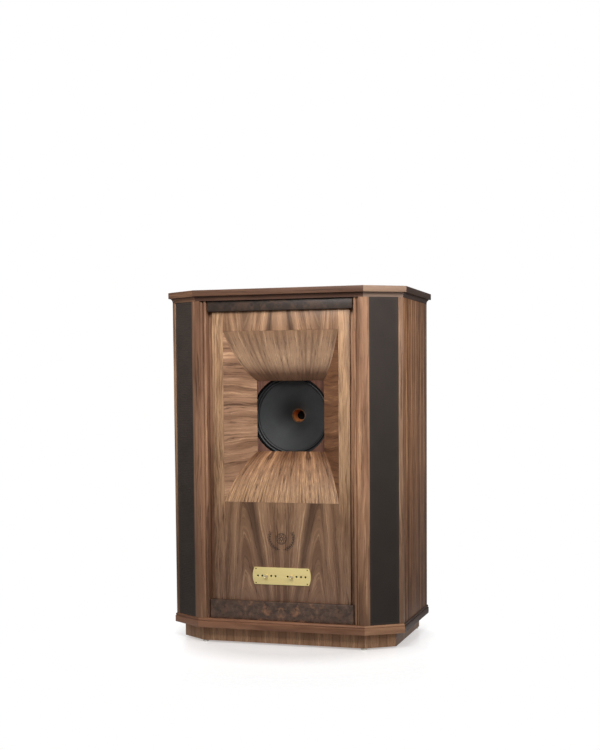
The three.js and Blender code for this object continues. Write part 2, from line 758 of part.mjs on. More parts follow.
function tapHoles(y0, y1) {
  return [-1, 1].flatMap((sign) => TAP_X.map((x) => turned(
    [[0, y0], [TAP_R, y0], [TAP_R, y1], [0, y1]], 10, sign * x, PLATE_Z,
  )));
}

function addControls() {
  const outline = new THREE.Shape();
  outline.moveTo(-PLATE_HALF_LENGTH, -PLATE_HALF_HEIGHT);
  outline.lineTo(PLATE_HALF_LENGTH, -PLATE_HALF_HEIGHT);
  const bow = PLATE_HALF_LENGTH + 2 * PLATE_BULGE;
  outline.quadraticCurveTo(bow, 0, PLATE_HALF_LENGTH, PLATE_HALF_HEIGHT);
  outline.lineTo(-PLATE_HALF_LENGTH, PLATE_HALF_HEIGHT);
  outline.quadraticCurveTo(-bow, 0, -PLATE_HALF_LENGTH, -PLATE_HALF_HEIGHT);
  const plate = faceOn(outline, PLATE_FRONT_Y, BAFFLE_FACE_Y - GAP, 8);
  plate.translate(0, 0, PLATE_Z);
  add('control_plate', cut(plate, ...tapHoles(-300, -200)), 'brass');

  const blockX = TAP_X[4] + 16;
  const block = board(
    [-blockX, BLOCK_FRONT_Y, PLATE_Z - 24],
    [blockX, BLOCK_FRONT_Y + 22, PLATE_Z + 24],
  );
  add('control_block', cut(block, ...tapHoles(-300, BLOCK_FRONT_Y + 16)), 'bakelite');

  SIDES.forEach(([side]) => {
    const washerY = PLATE_FRONT_Y - GAP;
    add(`thumbscrew_washer_${side}`, turned([
      [TAP_R, washerY - WASHER_THICKNESS],
      [SCREW_HEAD_R + 0.5, washerY - WASHER_THICKNESS],
      [SCREW_HEAD_R + 0.5, washerY],
      [TAP_R, washerY],
    ], 20, SCREW_X[side], PLATE_Z), 'brass');

    const headRearY = washerY - WASHER_THICKNESS - GAP;
    const headFrontY = headRearY - SCREW_HEAD_LENGTH;
    const tipY = BLOCK_FRONT_Y + 12;
    add(`thumbscrew_${side}`, turned([
      [0, headFrontY],
      [SCREW_HEAD_R - 1, headFrontY],
      [SCREW_HEAD_R, headFrontY + 1],
      [SCREW_HEAD_R, headRearY - 2],
      [SCREW_HEAD_R - 1.5, headRearY],
      [SHANK_R, headRearY],
      [SHANK_R, tipY],
      [0, tipY],
    ], 20, SCREW_X[side], PLATE_Z), 'brass');
  });
}

// ---------------------------------------------------------------- crossover and terminals

const TERMINAL_Z = 234;
const TERMINAL_HOLE_X = 40;
const TERMINAL_HOLE_Z = 22;
const POST_X = 19;

function addElectrics() {
  const floor = BODY_BOTTOM + GAP;
  const boardTop = floor + 12;
  add('crossover_board', board([-130, 40, floor], [130, 190, boardTop]), 'plywood');

  // Inductor: a coil wound on a bobbin, standing on the board.
  const coil = [[14, 0], [44, 0], [44, 5], [38, 5], [38, 33], [44, 33], [44, 38], [14, 38]];
  const inductor = turned(coil, 28, 0, 0);
  inductor.rotateX(Math.PI / 2);
  inductor.translate(-70, 115, boardTop + GAP);
  add('crossover_inductor', inductor, 'copper');
  add('crossover_capacitor', board([20, 80, boardTop + GAP], [100, 150, boardTop + 60]), 'frame');

  const plateRearY = BODY_REAR_Y + GAP;
  const plateFaceY = plateRearY + 3;
  const plate = board([-60, plateRearY, TERMINAL_Z - 40], [60, plateFaceY, TERMINAL_Z + 40]);
  const capY = plateFaceY + GAP;
  const capRearY = CAP_HALF_DEPTH - 1;
  const studR = 3;
  const posts = [-1, 1].map((sign) => turned(
    [[0, plateRearY - 8], [studR, plateRearY - 8], [studR, capRearY - 2], [0, capRearY - 2]],
    16, sign * POST_X, TERMINAL_Z,
  ));
  add('terminal_plate', join(plate, ...posts), 'bakelite');

  const capR = 8;
  const boreR = studR + GAP;
  [['positive', -1, 'red'], ['negative', 1, 'rubber']].forEach(([name, sign, finish]) => {
    add(`terminal_cap_${name}`, turned([
      [boreR, capY],
      [capR, capY],
      [capR, capRearY - 1],
      [capR - 1, capRearY],
      [0, capRearY],
      [0, capRearY - 2 + GAP],
      [boreR, capRearY - 2 + GAP],
    ], 20, sign * POST_X, TERMINAL_Z), finish);
  });
}

// ---------------------------------------------------------------- assembly

addCap();
addBase();
addPlinth();
addGlides();
addBody();
addFront();
addHorn();
addChamber();
addDriver();
addControls();
addElectrics();

export default loudspeaker;
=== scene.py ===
"""Horn loudspeaker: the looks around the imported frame. Metres, +Z up, the front faces -Y."""
import json
import math

import bmesh
import bpy
from mathutils import Matrix, Vector


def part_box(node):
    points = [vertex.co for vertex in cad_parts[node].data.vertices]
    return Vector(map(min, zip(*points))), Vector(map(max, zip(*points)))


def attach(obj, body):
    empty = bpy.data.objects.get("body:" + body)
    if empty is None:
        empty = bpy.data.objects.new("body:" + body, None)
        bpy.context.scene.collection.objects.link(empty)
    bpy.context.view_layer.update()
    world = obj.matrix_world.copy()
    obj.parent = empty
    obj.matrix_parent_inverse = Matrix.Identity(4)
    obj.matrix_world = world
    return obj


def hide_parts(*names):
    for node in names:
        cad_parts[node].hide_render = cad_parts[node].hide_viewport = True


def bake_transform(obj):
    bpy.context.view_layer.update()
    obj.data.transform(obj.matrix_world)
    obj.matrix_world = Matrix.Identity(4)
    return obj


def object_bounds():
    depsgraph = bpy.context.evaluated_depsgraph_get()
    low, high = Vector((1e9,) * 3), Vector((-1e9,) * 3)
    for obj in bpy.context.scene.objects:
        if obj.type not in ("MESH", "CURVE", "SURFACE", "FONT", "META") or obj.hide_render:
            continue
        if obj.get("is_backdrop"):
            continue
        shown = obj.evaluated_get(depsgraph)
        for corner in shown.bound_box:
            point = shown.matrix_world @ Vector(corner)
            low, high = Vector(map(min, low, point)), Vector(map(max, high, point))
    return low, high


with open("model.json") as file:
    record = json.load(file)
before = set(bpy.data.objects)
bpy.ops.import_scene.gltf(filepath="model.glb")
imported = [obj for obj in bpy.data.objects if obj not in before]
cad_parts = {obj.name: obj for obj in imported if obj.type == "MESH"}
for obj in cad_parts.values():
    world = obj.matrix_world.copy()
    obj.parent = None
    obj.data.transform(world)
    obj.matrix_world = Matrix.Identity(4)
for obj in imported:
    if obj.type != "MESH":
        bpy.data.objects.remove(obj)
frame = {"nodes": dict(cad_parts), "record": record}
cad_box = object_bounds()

MM = 0.001
SCENE = bpy.context.scene
CABINET = "cabinet"
SIDES = (("left", -1), ("right", 1))
GAP = 0.3 * MM  # between a piece and its neighbour
UPRIGHT = (0, 0, 1)


# --- camera

def add_camera():
    """A long lens a little right of the front and above the middle, looking slightly down."""
    azimuth, dip, roll = math.radians(16.832), math.radians(3.829), math.radians(-0.401)
    spot = (1.5375, -4.8306, 1.0191)
    back = Vector((
        math.sin(azimuth) * math.cos(dip),
        -math.cos(azimuth) * math.cos(dip),
        math.sin(dip),
    ))
    level = Vector((math.cos(azimuth), math.sin(azimuth), 0))
    upward = back.cross(level)
    right = level * math.cos(roll) + upward * math.sin(roll)
    up = upward * math.cos(roll) - level * math.sin(roll)
    data = bpy.data.cameras.new("camera")
    data.lens = 59.62
    data.sensor_width = 36
    data.shift_x = -0.0230
    data.shift_y = 0.1264
    camera = bpy.data.objects.new("camera", data)
    turn = Matrix((right, up, back)).transposed()
    camera.matrix_world = Matrix.Translation(spot) @ turn.to_4x4()
    SCENE.collection.objects.link(camera)
    SCENE.camera = camera


add_camera()


# --- shader graphs

def linear(colour):
    """A linear RGBA from sRGB numbers of 0 to 255, or one number for a grey; a socket stays."""
    if isinstance(colour, bpy.types.NodeSocket):
        return colour
    channels = [c / 255 for c in (colour if isinstance(colour, (tuple, list)) else [colour] * 3)]
    return [c / 12.92 if c <= 0.04045 else ((c + 0.055) / 1.055) ** 2.4 for c in channels] + [1]


def shaded(colour, *shares):
    """An sRGB colour with each channel multiplied by its share, or all by one share."""
    return [c * k for c, k in zip(colour, shares * 3 if len(shares) == 1 else shares)]


class Value:
    """A number in a shader graph. Arithmetic on it adds Math nodes."""

    def __init__(self, graph, socket):
        self.graph = graph
        self.socket = socket

    def __add__(self, other):
        return self.graph.math("ADD", self, other)

    def __sub__(self, other):
        return self.graph.math("SUBTRACT", self, other)

    def __rsub__(self, other):
        return self.graph.math("SUBTRACT", other, self)

    def __mul__(self, other):
        return self.graph.math("MULTIPLY", self, other)

    def __truediv__(self, other):
        return self.graph.math("DIVIDE", self, other)

    def __pow__(self, other):
        return self.graph.math("POWER", self, other)

    def __abs__(self):
        return self.graph.math("ABSOLUTE", self)


class Graph:
    """A material under construction: each method adds one node and returns its main output."""

    def __init__(self, name):
        self.material = bpy.data.materials.new(name)
        self.material.use_nodes = True
        self.tree = self.material.node_tree
        self.tree.nodes.clear()

    def node(self, kind, inputs=(), **settings):
        node = self.tree.nodes.new("ShaderNode" + kind)
        for key, value in settings.items():
            setattr(node, key, value)
        for key, value in dict(inputs).items():
            value = getattr(value, "socket", value)
            if isinstance(value, bpy.types.NodeSocket):
                self.tree.links.new(value, node.inputs[key])
            else:
                node.inputs[key].default_value = value
        return node

    def math(self, operation, *values):
        return Value(self, self.node("Math", enumerate(values), operation=operation).outputs[0])

    def vector(self, x=0.0, y=0.0, z=0.0):
        return self.node("CombineXYZ", {0: x, 1: y, 2: z}).outputs[0]

    def noise(self, vector, scale=1.0, detail=2.0, roughness=0.5):
        inputs = {"Vector": vector, "Scale": scale, "Detail": detail, "Roughness": roughness}
        return Value(self, self.node("TexNoise", inputs).outputs["Fac"])

    def remap(self, value, low, high, new_low=0.0, new_high=1.0):
        inputs = {0: value, 1: low, 2: high, 3: new_low, 4: new_high}
        return Value(self, self.node("MapRange", inputs).outputs[0])

    def ramp(self, value, *stops):
        """A colour ramp with (position, sRGB colour) stops."""
        node = self.node("ValToRGB", {0: value})
        elements = node.color_ramp.elements
        elements[0].position, elements[0].color = stops[0][0], linear(stops[0][1])
        elements[1].position, elements[1].color = stops[-1][0], linear(stops[-1][1])
        for position, colour in stops[1:-1]:
            elements.new(position).color = linear(colour)
        return node.outputs[0]

    def mix(self, share, first, second, blend="MIX"):
        inputs = {0: share, 6: linear(first), 7: linear(second)}
        return self.node("Mix", inputs, data_type="RGBA", blend_type=blend).outputs[2]

    def position(self):
        return self.node("TexCoord").outputs["Object"]

    def split(self, vector):
        return [Value(self, socket) for socket in self.node("SeparateXYZ", {0: vector}).outputs]

    def bump(self, height, strength, distance):
        inputs = {"Height": height, "Strength": strength, "Distance": distance}
        return self.node("Bump", inputs).outputs[0]

    def surface(self, **inputs):
        """Ends the material in a Principled shader; names have _ for each space."""
        named = {key.replace("_", " "): value for key, value in inputs.items()}
        shader = self.node("BsdfPrincipled", named)
        output = self.node("OutputMaterial")
        self.tree.links.new(shader.outputs[0], output.inputs[0])
        return self.material


# --- wood

GRAIN = "grain"  # the UV map that gives each wooden face its (across, along) place, in metres
WOBBLE = 0.014  # how far the finest waves of the grain swing

# Flat-sawn figure of the baffle: distances from its middle, and heights above the floor.
ARCH_MIDDLE = 0.155
ARCH_CLIMB = 0.18  # how fast the arches below the horn close on their way up
CROWN_CLIMB = 0.14  # how fast the crowns above the horn close on their way down
CROWN_TOP = 1.36
HORN_MIDDLE = 0.9
ARCH_TIP = 0.018  # radius of an arch's tip
OUTER_SLANT = 2.2  # how much steeper an arch's outer flank is than its inner one
FAN_EDGE = 0.03  # half width of the fan at the floor
STILE_EDGE = 0.2355
FLANK_RING = 0.134  # the ring that is darkest


def arched(g, ring, along, edge):
    """Bends straight grain into arches and crowns with a fan between them.

    Returns the new ring, and a mask of the stiles at the edges, where the grain stays straight.
    """
    out = abs(ring)
    fall = (CROWN_TOP - along) * CROWN_CLIMB + g.math("LESS_THAN", along, HORN_MIDDLE)
    rise = g.math("MINIMUM", along * ARCH_CLIMB, fall)
    offset = out - ARCH_MIDDLE
    offset = g.math("MAXIMUM", offset * OUTER_SLANT, offset * -1)
    nested = g.math("SQRT", offset ** 2 + ARCH_TIP ** 2) + rise
    border = rise + FAN_EDGE
    fan = 0.25 - out / border * 0.125
    nested = nested + g.math("LESS_THAN", out, border) * (fan - nested)
    stile = g.math("GREATER_THAN", edge, STILE_EDGE)
    return nested + stile * (ring - nested), stile


def walnut(name, tone, seed, leaf=None, arches=False, contrast=1.0, waver=0.05, gloss=0.25,
           fineness=1.0, painted_shading=()):
    """Straight-grained walnut, lacquered satin.

    leaf: width of the veneer leaves, each a mirror image of the next
    arches: True for the baffle's flat-sawn figure
    waver: how far, in metres, the grain wanders from straight
    fineness: how closely the bands and lines follow each other
    veil: places along the grain, each with a colour laid over the wood there: painted light and shade, and
    on the upper flare a painted sheen
    """
    g = Graph(name)
    across, along, _ = g.split(g.node("UVMap", uv_map=GRAIN).outputs[0])
    edge = abs(across)
    if leaf:
        across = g.math("PINGPONG", across, leaf)

    def figure(x, x_scale, y_scale, detail, roughness=0.6):
        """Noise that is drawn out along the grain."""
        return g.noise(g.vector(x * x_scale, seed, along * y_scale), 1, detail, roughness)

    wander = (figure(across, 5, 1.7, 2) - 0.5) * waver
    ring = across + (wander + (figure(across, 40, 11, 3) - 0.5) * WOBBLE)
    if arches:
        ring, stile = arched(g, ring, along, edge)
    shortness = fineness ** 3
    bands = figure(ring, 34 * fineness, 0.8, 4)
    stripes = figure(ring, 125 * fineness, 2.6 * shortness, 4, 0.68)
    fine = figure(ring, 420 * fineness, 9 * shortness, 2)
    pores = g.remap(figure(ring, 1300, 45, 1), 0.6, 0.75, 0.0, 0.35)
    spread = 0.125 / contrast
    dark = shaded(tone, 0.58, 0.54, 0.52)
    light = [min(c, 250) for c in shaded(tone, 1.27, 1.32, 1.32)]
    colour = g.ramp(
        g.remap(bands * 0.4 + stripes * 0.42 + fine * 0.18, 0.5 - spread, 0.5 + spread),
        (0.0, dark), (0.42, tone), (0.66, tone), (1.0, light),
    )
    if arches:
        # A dark band on the inner flank of each arch, dark crowns at the top, pale outer streaks.
        near = g.remap(abs(ring - FLANK_RING), 0.004, 0.026, 0.95, 0.0)
        flank = g.remap(edge, ARCH_MIDDLE - 0.02, ARCH_MIDDLE + 0.03, 1.0, 0.15)
        share = near * g.remap(along, 0.15, 0.5, 0.4, 1.0) * flank
        colour = g.mix(share, colour, shaded(dark, 0.95))
        crown = g.remap(ring, 0.034, 0.052, 0.75, 0.0) * g.remap(along, 1.1, 1.2)
        colour = g.mix(crown, colour, dark)
        outer = stile * g.remap(stripes, 0.44, 0.6, 0.25, 1.0)
        colour = g.mix(outer * g.remap(along, 0.5, 0.56, 0.3, 1.2) * 0.75, colour, light)
    colour = g.mix(pores, colour, shaded(dark, 0.7))
    cloud = g.remap(figure(across, 6, 2.4, 2), 0.38, 0.68, 0.0, 0.5)
    colour = g.mix(cloud, colour, (196, 184, 176), "MULTIPLY")
    broad = g.remap(figure(ring, 15, 1.8, 3), 0.47, 0.6, 0.0, 0.6)
    colour = g.mix(broad, colour, (165, 150, 140), "MULTIPLY")
    # Painted light and shade: the wood is darkened along the piece where less light falls, and the upper
    # flare gets a painted sheen.
    if painted_shading:
        length = painted_shading[-1][0]
        spot = along + (figure(across, 9, 5, 3) - 0.5) * 0.06
        painted_shade_cover = g.ramp(spot / length, *[(at / length, tint) for at, tint in painted_shading])
        colour = g.mix(1.0, colour, painted_shade_cover, "MULTIPLY")
    return g.surface(
        Base_Color=colour,
        Roughness=g.remap(stripes, 0.3, 0.7, 0.42, 0.56),
        Specular_IOR_Level=gloss,
        Coat_Weight=0.3 * gloss,
        Coat_Roughness=0.35,
        Normal=g.bump(stripes - pores * 1.2, 0.2, 0.0004),
    )


def burr_walnut(name, shade):
    """Dark burr: swirling figure with small eyes, mirrored leaf by leaf. shade scales all its tones: painted
    light and shade for each rail.
    """
    darkest, dark, middle, light, patch_tone, eye = [shaded(tone, shade) for tone in (
        (48, 37, 32), (65, 51, 43), (78, 61, 51), (100, 79, 65), (136, 97, 72), (42, 32, 27))]
    leaf = 0.148
    g = Graph(name)
    x, y, z = g.split(g.position())
    mirrored = g.vector(g.math("PINGPONG", x, leaf), y, z)
    swirl = g.node("TexNoise", {"Vector": mirrored, "Scale": 12.0, "Detail": 5.0}).outputs["Color"]
    push = g.node("VectorMath", {0: swirl, 1: (0.06, 0.0, 0.06)}, operation="MULTIPLY").outputs[0]
    spot = g.node("VectorMath", {0: mirrored, 1: push}, operation="ADD").outputs[0]
    broad = g.noise(spot, 36, 6, 0.75)
    fine = g.noise(spot, 130, 4, 0.65)
    colour = g.ramp(
        g.remap(broad * 0.75 + fine * 0.25, 0.34, 0.66),
        (0.0, darkest), (0.4, dark), (0.7, middle), (1.0, light),
    )
    # Tan patches, mostly in the middle of the rail.
    patches = g.remap(g.noise(spot, 28, 6, 0.72), 0.5, 0.66, 0.0, 0.7)
    colour = g.mix(patches * g.remap(abs(x), 0.07, 0.2, 1.0, 0.3), colour, patch_tone)
    cells = g.node("TexVoronoi", {"Vector": spot, "Scale": 60.0}).outputs["Distance"]
    colour = g.mix(g.remap(cells, 0.05, 0.3, 0.6, 0.0), colour, eye)
    return g.surface(
        Base_Color=colour,
        Roughness=g.remap(fine, 0.3, 0.7, 0.45, 0.58),
        Specular_IOR_Level=0.3,
        Coat_Weight=0.08,
        Coat_Roughness=0.35,
        Normal=g.bump(fine, 0.12, 0.0003),
    )


def plywood():
    """Pale birch ply for the pieces inside and the back."""
    g = Graph("plywood")
    x, y, z = g.split(g.position())
    grain = g.noise(g.vector(x * 60, y * 60, z * 3), 1, 4)
    colour = g.ramp(
        g.remap(grain, 0.3, 0.7),
        (0.0, (120, 88, 58)), (0.5, (150, 114, 78)), (1.0, (172, 136, 98)),
    )
    cloud = g.remap(g.noise(g.position(), 6, 3), 0.3, 0.7, 0.0, 0.35)
    colour = g.mix(cloud, colour, (190, 160, 130), "MULTIPLY")
    return g.surface(Base_Color=colour, Roughness=0.7, Normal=g.bump(grain, 0.15, 0.0003))


# --- metal, paper, plastic

def speckled(name, base, spot, scale, roughness, relief=0.1, metallic=0.0, **more):
    """A surface with two close tones in a fine irregular pattern."""
    g = Graph(name)
    fine = g.noise(g.position(), scale, 4, 0.6)
    broad = g.noise(g.position(), scale * 0.06, 3)
    return g.surface(
        Base_Color=g.mix(g.remap(fine * 0.6 + broad * 0.4, 0.35, 0.65), base, spot),
        Metallic=metallic,
        Roughness=g.remap(fine, 0.3, 0.7, roughness - 0.06, roughness + 0.06),
        Normal=g.bump(fine, relief, 0.0003),
        **more,
    )


def brass():
    """Pale lacquered brass, finely brushed along X."""
    g = Graph("brass")
    x, y, z = g.split(g.position())
    brushed = g.noise(g.vector(x * 40, y * 900, z * 1800), 1, 2)
    return g.surface(
        Base_Color=g.mix(g.remap(brushed, 0.3, 0.7), (255, 234, 164), (248, 224, 150)),
        Metallic=0.2,
        Roughness=g.remap(brushed, 0.3, 0.7, 0.36, 0.46),
        Normal=g.bump(brushed, 0.1, 0.0002),
    )


def cone_paper(centre):
    """Felted paper: fine fibres, faint pressed rings about the driver's axis, and painted shade that darkens
    its middle.
    """
    g = Graph("cone_paper")
    fibres = g.noise(g.position(), 420, 4, 0.7)
    broad = g.noise(g.position(), 18, 3)
    x, _, z = g.split(g.position())
    radius = g.math("SQRT", x ** 2 + (z - centre) ** 2)
    rings = g.math("SINE", radius * 900)
    colour = g.mix(g.remap(fibres * 0.5 + broad * 0.5, 0.35, 0.65), (31, 32, 33), (43, 44, 45))
    # Painted shadow: the paper darkens towards the middle, round the throat.
    colour = g.mix(g.remap(radius, 0.03, 0.09, 0.95, 0.0), colour, 11)
    return g.surface(
        Base_Color=colour,
        Roughness=0.62,
        Specular_IOR_Level=0.35,
        Sheen_Weight=0.15,
        Normal=g.bump(fibres * 0.8 + rings * 0.12, 0.3, 0.0004),
    )


def cloth():
    """Black open-weave cloth."""
    g = Graph("black_cloth")
    _, y, z = g.split(g.position())
    weave = g.math("SINE", y * 4200) * g.math("SINE", z * 4200)
    colour = g.mix(g.remap(weave, -1.0, 1.0), (40, 36, 33), (58, 52, 48))
    return g.surface(Base_Color=colour, Roughness=0.95, Normal=g.bump(weave, 0.3, 0.0003))


# --- mesh helpers

def place(name, mesh, finish, nodes=(), body=CABINET, angle=32):
    """Makes a piece of the object: smooth where its faces meet gently, riding on a body."""
    mesh.name = name
    mesh.materials.clear()
    for material in finish if isinstance(finish, tuple) else (finish,):
        mesh.materials.append(material)
    mesh.shade_smooth()
    mesh.set_sharp_from_angle(angle=math.radians(angle))
    piece = bpy.data.objects.new(name, mesh)
    SCENE.collection.objects.link(piece)
    if body:
        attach(piece, body)
    if nodes:
        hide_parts(*([nodes] if isinstance(nodes, str) else nodes))
    return piece


def mesh_of(vertices, faces, corners=None):
    """A mesh from plain lists. corners gives each face's (across, along) for the wood grain."""
    mesh = bpy.data.meshes.new("mesh")
    mesh.from_pydata(vertices, [], faces)
    if corners:
        layer = mesh.uv_layers.new(name=GRAIN)
        flat = [value for face in corners for corner in face for value in corner]
        layer.data.foreach_set("uv", flat)
    return mesh


def map_grain(mesh, along, offset=0.0):
    """Lays the grain of every face along a direction, projected onto that face."""
    along = Vector(along).normalized()
    layer = mesh.uv_layers.get(GRAIN) or mesh.uv_layers.new(name=GRAIN)
    for face in mesh.polygons:
        across = along.cross(face.normal)
        if across.length < 0.3:  # end grain
            across = Vector((1, 0, 0)) if abs(along.x) < 0.5 else Vector((0, 1, 0))
        across.normalize()
        run = face.normal.cross(across)
        for corner in face.loop_indices:
            point = mesh.vertices[mesh.loops[corner].vertex_index].co
            layer.data[corner].uv = (point.dot(across) + offset, point.dot(run))
    return mesh


def points_of(node):
    return [v.co for v in frame["nodes"][node].data.vertices]


def middle(node, axis="z"):
    """The middle of a node's box along an axis."""
    low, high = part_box(node)
    return (getattr(low, axis) + getattr(high, axis)) / 2


def softened(node, width, segments=2, angle=30):
    """A copy of a CAD node's mesh with its flat faces merged and its edges rounded."""
    mesh = frame["nodes"][node].data.copy()
    shape = bmesh.new()
    shape.from_mesh(mesh)
    bmesh.ops.remove_doubles(shape, verts=shape.verts, dist=1e-5)
    bmesh.ops.dissolve_limit(shape, angle_limit=math.radians(0.5), verts=shape.verts, edges=shape.edges)
    sharp = [e for e in shape.edges if e.is_manifold and e.calc_face_angle() > math.radians(angle)]
    bmesh.ops.bevel(
        shape, geom=sharp, offset=width, segments=segments, profile=0.5,
        affect="EDGES", clamp_overlap=True,
    )
    shape.to_mesh(mesh)
    shape.free()
    return mesh


def tidied(mesh):
    """Merges doubled points, drops faces without area and turns all faces outward."""
    shape = bmesh.new()
    shape.from_mesh(mesh)
    bmesh.ops.remove_doubles(shape, verts=shape.verts, dist=1e-6)
    bmesh.ops.dissolve_degenerate(shape, dist=1e-7, edges=shape.edges)
    bmesh.ops.recalc_face_normals(shape, faces=shape.faces)
    shape.to_mesh(mesh)
    shape.free()
    return mesh


def refinish(node, suffix, width, finish, body=CABINET, grain=(), segments=2, angle=30):
    """Replaces a CAD node by its own shape with rounded edges. grain is what map_grain needs."""
    mesh = softened(node, width, segments, angle)
    if grain:
        map_grain(mesh, *grain)
    place(f"{node}_{suffix}", mesh, finish, node, body)


def turned(profile, centre, segments=64, knurl=0.0):
    """A closed profile of (radius, y) points turned about a line along Y through centre (x, z)."""
    count = len(profile)
    vertices, faces = [], []
    for step in range(segments):
        angle = 2 * math.pi * step / segments
        swell = 1 - knurl * (step % 2)
        for radius, y in profile:
            reach = radius * swell
            x, z = centre[0] + reach * math.cos(angle), centre[1] + reach * math.sin(angle)
            vertices.append((x, y, z))
    for step in range(segments):
        here, there = step * count, (step + 1) % segments * count
        for row in range(count):
            after = (row + 1) % count
            faces.append((here + row, here + after, there + after, there + row))
    return tidied(mesh_of(vertices, faces))


def mesh_of_curve(data):
    """The mesh that a curve makes. The curve is used up."""
    holder = bpy.data.objects.new(data.name, data)
    SCENE.collection.objects.link(holder)
    bpy.context.view_layer.update()
    evaluated = holder.evaluated_get(bpy.context.evaluated_depsgraph_get())
    mesh = bpy.data.meshes.new_from_object(evaluated)
    bpy.data.objects.remove(holder)
    bpy.data.curves.remove(data)
    return mesh


def plate(outlines, y_front, y_rear, bevel):
    """A flat plate facing the front: first outline its edge, the others its holes, as (x, z)."""
    data = bpy.data.curves.new("outline", "CURVE")
    data.dimensions = "2D"
    data.fill_mode = "BOTH"
    data.extrude = (y_rear - y_front) / 2 - bevel
    data.bevel_depth = bevel
    data.bevel_resolution = 1
    data.offset = -bevel
    for outline in outlines:
        spline = data.splines.new("POLY")
        spline.points.add(len(outline) - 1)
        spline.use_cyclic_u = True
        for point, (x, z) in zip(spline.points, outline):
            point.co = (x, z, 0, 1)
    mesh = mesh_of_curve(data)
    shift = Matrix.Translation((0, (y_front + y_rear) / 2, 0))
    mesh.transform(shift @ Matrix.Rotation(math.pi / 2, 4, "X"))
    return tidied(mesh)


def circle(x, z, radius, steps=32):
    angles = [2 * math.pi * i / steps for i in range(steps)]
    return [(x + radius * math.cos(a), z + radius * math.sin(a)) for a in angles]


def rectangle(x0, z0, x1, z1):
    return [(x0, z0), (x1, z0), (x1, z1), (x0, z1)]


def arc(centre, radius, start, end, steps):
    """Points on an arc, from one angle to another in degrees, both ends included."""
    angles = [math.radians(start + (end - start) * i / steps) for i in range(steps + 1)]
    return [(centre[0] + radius * math.cos(a), centre[1] + radius * math.sin(a)) for a in angles]


# --- cap, cornice and base

def plan_outline(node):
    """The six plan corners of a CAD slab at its widest, anticlockwise from the front right."""
    low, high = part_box(node)
    points = points_of(node)
    front = max(p.x for p in points if p.y < low.y + 0.1 * MM)
    side = min(p.y for p in points if p.x > high.x - 0.1 * MM)
    half = [(front, low.y), (high.x, side), (high.x, high.y)]
    return half + [(-x, y) for x, y in reversed(half)]


def inset(outline, distance):
    """A convex anticlockwise outline moved inwards by a distance."""
    count = len(outline)
    lines = []
    for i in range(count):
        start, end = Vector(outline[i]), Vector(outline[(i + 1) % count])
        run = (end - start).normalized()
        inward = Vector((-run.y, run.x))
        lines.append((start + inward * distance, run))
    result = []
    for i in range(count):
        (p, r), (q, s) = lines[i - 1], lines[i]
        reach = (q - p).cross(s) / r.cross(s)
        result.append(tuple(p + r * reach))
    return result


def moulded_slab(outline, levels):
    """A slab with a moulded edge. levels: (inset, z) from bottom to top; grain follows each edge."""
    rings = [[(x, y, z) for x, y in inset(outline, distance)] for distance, z in levels]
    count = len(outline)
    vertices = [point for ring in rings for point in ring]
    faces, corners = [], []
    climb = 0.0
    for level in range(len(levels) - 1):
        step = math.dist(levels[level], levels[level + 1])
        for i in range(count):
            after = (i + 1) % count
            a, b = level * count + i, level * count + after
            faces.append((a, b, b + count, a + count))
            run = (Vector(outline[after]) - Vector(outline[i])).normalized()
            spot = [Vector(vertices[v][:2]).dot(run) for v in faces[-1]]
            across = [climb, climb, climb + step, climb + step]
            corners.append([(u + i * 0.7, v) for u, v in zip(across, spot)])
        climb += step
    top = (len(levels) - 1) * count
    for ring in (list(range(count))[::-1], [top + i for i in range(count)]):
        faces.append(tuple(ring))
        corners.append([(vertices[v][1], vertices[v][0]) for v in ring])
    return mesh_of(vertices, faces, corners)


def tone_and_shade_edges(piece, tones_and_shades, flat_tint=0):
    """Sets the finish of each edge of a moulded slab: right chamfer and on, anticlockwise. The right
    chamfer's lighter copy of the walnut is painted light.
    """
    count = len(tones_and_shades)
    faces = piece.data.polygons
    for number, face in enumerate(faces):
        is_edge = number < len(faces) - 2
        face.material_index = tones_and_shades[number % count] if is_edge else flat_tint


def rounded_edge(low, high, radius, steps=3):
    """Levels of a slab whose upper and lower edges are rounded."""
    lower = [(radius - radius * math.sin(a), low + radius - radius * math.cos(a))
             for a in [math.pi / 2 * i / steps for i in range(steps + 1)]]
    upper = [(d, high - (z - low)) for d, z in reversed(lower)]
    return lower + upper


EDGE_TONES_AND_SHADES = (2, 3, 3, 3, 1, 0)  # right chamfer, right side, back, left side, left chamfer, front


def add_cap(wood):
    low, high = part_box("top_board")
    outline = plan_outline("top_board")
    slab = moulded_slab(outline, rounded_edge(low.z, high.z, 1.6 * MM))
    finishes = (wood["cap_front"], wood["cap_left"], wood["cap_right"], wood["side_edge"], wood["top"])
    tone_and_shade_edges(place("top_board_veneered", slab, finishes, "top_board"), EDGE_TONES_AND_SHADES, 4)

    # Cove: a hollow that climbs from the body out to just under the top board.
    cove_low, cove_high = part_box("cornice_board")
    body_inset = high.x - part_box("side_panel_right")[1].x
    lip_inset = high.x - cove_high.x
    reach = body_inset - lip_inset
    steps = 14
    levels = [
        (lip_inset + reach * math.cos(math.pi / 2 * i / steps),
         cove_low.z + (cove_high.z - 3 * MM - cove_low.z) * math.sin(math.pi / 2 * i / steps))
        for i in range(steps + 1)
    ]
    levels.append((lip_inset, cove_high.z))
    finishes = (wood["cove_front"], wood["cap_left"], wood["cove_right"], wood["side_edge"])
    slab = moulded_slab(outline, levels)
    tone_and_shade_edges(place("cornice_moulding", slab, finishes, "cornice_board"), EDGE_TONES_AND_SHADES)


